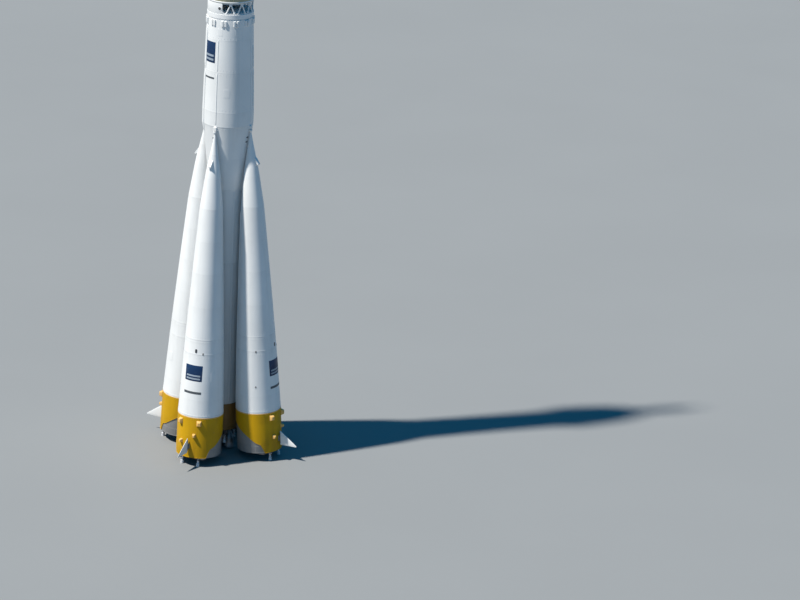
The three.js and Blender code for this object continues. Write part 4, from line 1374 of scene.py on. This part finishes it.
class RocketNose(bpy.types.Operator):
    """Builds the adapter, fairing, escape tower and grid fins"""

    bl_idname = "rocket.nose"
    bl_label = "Nose"

    def grid_fin(self):
        """Crossing bars in a frame, standing on its hinge's edge at the local origin."""
        tall, wide, deep = FIN["tall"], FIN["wide"], FIN["deep"]
        bars = []
        for y in ((0.06 - wide) / 2, (wide - 0.06) / 2):
            bars.append((deep, 0.06, tall, y, tall / 2, 0.004))
        for z in (0.03, tall - 0.03):
            bars.append((deep * 0.98, wide - 0.11, 0.06, 0, z, 0.004))
        for share in np.arange(1, FIN["meshes"]) / FIN["meshes"]:
            bars.append((deep * 0.8, 0.010, tall - 0.08, wide * share - wide / 2, tall / 2, 0.001))
            bars.append((deep * 0.78, wide - 0.08, 0.010, 0, tall * share, 0.001))
        return [block(metres(*size), metres(deep / 2, y, z), bevel) for *size, y, z, bevel in bars]

    def barrel(self, sizes):
        """Turned skin of the fairing's barrel with hinges, ducts, hatches and screws."""
        barrel = Skin(over_nose(FAIRING_ROWS), soft=0.08, seams=over_nose(FAIRING_SEAMS))
        shells = [skin_shell(barrel, sizes.sides, sizes.row_step)]
        middle = metres(1.395, 0, NOSE + FIN["hinge"] - 0.051)
        hinge = block(metres(0.30, 0.62, 0.09), middle, 0.008, 2)
        for letter in CROSS:
            angle = azimuth_of(f"grid_fin_{letter}")
            shells.append(placed(placed(hinge, turned_place(angle)), UPRIGHT))
            shells.append(duct(barrel, angle + math.pi / 4, NOSE + 1.0, NOSE + 4.5, 0.10, 0.025))
            shells.append(patch(barrel, angle + 0.55, NOSE + 3.6, 0.36, 0.46, 0.012, 0.06))
            shells.append(patch(barrel, angle - 0.5, NOSE + 2.2, 0.3, 0.3, 0.012, 0.15))
        return shells + stud_rings(barrel, sizes.stud_radius, NOSE + 1.1, NOSE + 4.48)

    def cone(self, sizes):
        """Turned skin of the fairing's nose with ducts and two hatches."""
        nose = Skin(over_nose(FAIRING_NOSE_ROWS), soft=0.6, seams=over_nose(FAIRING_NOSE_SEAMS))
        shells = [skin_shell(nose, sizes.sides, sizes.row_step)]
        for letter in CROSS:
            angle = azimuth_of(f"grid_fin_{letter}") + math.pi / 4
            shells.append(duct(nose, angle, NOSE + 4.9, NOSE + 8.8, 0.08, 0.02))
        shells.append(patch(nose, CAMERA_SIDE - 0.1, NOSE + 5.7, 0.45, 0.45, 0.015, 0.2, 1))
        shells.append(patch(nose, CAMERA_SIDE + 2.2, NOSE + 6.3, 0.35, 0.5, 0.012, 0.06))
        return shells

    def tower(self, sizes):
        """Turned skin of the escape tower with a ring of canted nozzles, a duct and screws."""
        tower = Skin(over_nose(TOWER_ROWS), soft=0.05, seams=over_nose(TOWER_SEAMS))
        shells = [skin_shell(tower, 72, sizes.row_step)]
        nozzle = turned(metres(*TOWER_NOZZLE), 20, slot=2)
        nozzle = nozzle._replace(points=nozzle.points @ rotation((0, 1, 0), NOZZLE_CANT))
        nozzle = nozzle._replace(points=nozzle.points + metres(0.41, 0, 0))
        spots = [turned_place(a, metres(0, 0, NOSE + 12.56)) for a in circle(12)]
        shells.append(placed(copies(nozzle, spots), UPRIGHT))
        shells.append(duct(tower, 0.3, NOSE + 9.5, NOSE + 12.4, 0.06, 0.03))
        return shells + stud_rings(tower, sizes.stud_radius, NOSE + 9.36, number=24)

    def execute(self, context):
        """Adapter, barrel, nose and tower turned about the axis, and the four fins."""
        sizes = context.scene.rocket_sizes
        finishes, grey = finish_list("white", "dark", "grey"), finish_list("grey")
        adapter = Skin(over_nose(ADAPTER_ROWS))
        shells = [skin_shell(adapter, 144, 0.1), hoop(adapter, NOSE + 0.15, 0.1, 0.02)]
        shells += stud_rings(adapter, sizes.stud_radius, NOSE + 0.06)
        piece("adapter_skin", "payload_adapter", shells, grey)
        piece("fairing_barrel_skin", "fairing_barrel", self.barrel(sizes), finishes)
        piece("fairing_nose_skin", "fairing_nose", self.cone(sizes), finishes)
        piece("escape_tower_skin", "escape_tower", self.tower(sizes), finishes)
        fin = self.grid_fin()
        for letter in CROSS:
            node = f"grid_fin_{letter}"
            angle = azimuth_of(node)
            spot = turned_place(angle, around(angle, FIN["away"], NOSE + FIN["hinge"]))
            shells = [placed(placed(s, spot), UPRIGHT) for s in fin]
            piece(node + "_lattice", node, shells, grey, node)
        return {"FINISHED"}


class RocketStage(bpy.types.Operator):
    """Sets the pale floor, the light and the camera"""

    bl_idname = "rocket.stage"
    bl_label = "Stage, light and camera"

    def floor(self, scene):
        """Disc far wider than the view, its top level with the rocket's lowest point."""
        box = Paintbox("floor")
        cloud = box.between(box.noise(0.12, 4.0), 0.35, 0.7)
        tone = box.mix(cloud, *(shade(scene.rocket_colours.floor, share) for share in (0.97, 1.0)))
        disc = turned([(FLOOR - 0.3, 420), (FLOOR, 420)], 128)
        points, _, corners, _, totals = welded(outward(disc), 1e-4)
        mesh = bpy.data.meshes.new("floor")
        starts = np.cumsum(totals) - totals
        mesh.from_pydata(points, [], [corners[s:s + t].tolist() for s, t in zip(starts, totals)])
        mesh.materials.append(box.finish(tone, 0.75))
        floor = bpy.data.objects.new("floor", mesh)
        scene.collection.objects.link(floor)

    def execute(self, context):
        """Floor disc, camera, one key light and an even sky."""
        scene = context.scene
        stage = scene.rocket_stage
        self.floor(scene)

        data = bpy.data.cameras.new("camera")
        data.lens = stage.focal
        data.sensor_width = 36.0
        data.clip_end = 2000.0
        camera = bpy.data.objects.new("camera", data)
        scene.collection.objects.link(camera)
        scene.camera = camera
        camera.matrix_world = camera_matrix(stage)

        sun = bpy.data.lights.new("key", "SUN")
        sun.energy = stage.sun_power
        sun.angle = math.radians(2.5)
        sun.color = (1.0, 0.965, 0.90)
        lamp = bpy.data.objects.new("key", sun)
        scene.collection.objects.link(lamp)
        side = CAMERA_SIDE + stage.sun_side
        lamp.rotation_euler = (math.pi / 2 - stage.sun_height, 0, side + math.pi / 2)

        world = bpy.data.worlds.new("sky fill")
        world.use_nodes = True
        back = world.node_tree.nodes["Background"]
        back.inputs["Color"].default_value = (*scene.rocket_colours.sky, 1.0)
        back.inputs["Strength"].default_value = stage.sky_power
        scene.world = world
        scene.view_settings.view_transform = "Standard"
        return {"FINISHED"}


def rotation(axis, angle):
    """Matrix that turns about an axis, by the formula of Rodrigues."""
    x, y, z = unit(np.asarray(axis, float))
    cross = np.array([(0, -z, y), (z, 0, -x), (-y, x, 0)])
    return np.eye(3) + math.sin(angle) * cross + (1 - math.cos(angle)) * cross @ cross


def camera_matrix(stage):
    """Camera on a sphere round the tails' top level, turned from it by yaw, pitch and roll."""
    around_rocket = rotation((0, 0, 1), stage.azimuth)
    ce, se = math.cos(stage.elevation), math.sin(stage.elevation)
    forward = around_rocket @ (0, ce, -se)
    right = around_rocket @ (1, 0, 0)
    where = (0, 0, TAIL_TOP) - forward * stage.distance
    yawed = rotation((0, 0, 1), stage.yaw)
    forward, right = yawed @ forward, yawed @ right
    forward = rotation(right, stage.pitch) @ forward
    rolled = rotation(forward, stage.roll)
    right, up = rolled @ right, rolled @ np.cross(right, forward)
    matrix = np.eye(4)
    matrix[:3] = np.column_stack([right, up, -forward, where])
    return Matrix(matrix.tolist())


class RocketPanel(bpy.types.Panel):
    """Lists the rocket's building steps and settings"""

    bl_idname = "VIEW3D_PT_rocket"
    bl_label = "Rocket"
    bl_space_type = "VIEW_3D"
    bl_region_type = "UI"
    bl_category = "Rocket"

    def draw(self, context):
        """A button for each step, and below them all sizes, colours and settings."""
        for operator in OPERATORS:
            self.layout.operator(operator.bl_idname)
        for name in GROUPS:
            group = getattr(context.scene, name)
            for key in group.__annotations__:
                self.layout.prop(group, key)


OPERATORS = [
    RocketMaterials, RocketStage, RocketBoosterTanks, RocketBoosterTails, RocketEngines,
    RocketSteering, RocketRudders, RocketCore, RocketInterstage, RocketThirdStage, RocketNose,
]
GROUPS = {
    "rocket_sizes": RocketSizes, "rocket_colours": RocketColours, "rocket_stage": StageSettings,
}


def register():
    """Adds the classes, and the three setting groups to the scene."""
    for cls in [*GROUPS.values(), *OPERATORS, RocketPanel]:
        bpy.utils.register_class(cls)
    for name, group in GROUPS.items():
        setattr(bpy.types.Scene, name, bpy.props.PointerProperty(type=group))


def unregister():
    """Takes them away in the opposite order."""
    for name in GROUPS:
        delattr(bpy.types.Scene, name)
    for cls in [RocketPanel, *reversed(OPERATORS), *reversed(GROUPS.values())]:
        bpy.utils.unregister_class(cls)


def main():
    register()
    for operator in OPERATORS:
        group, step = operator.bl_idname.split(".")
        getattr(getattr(bpy.ops, group), step)()


if __name__ == "__main__":
    main()
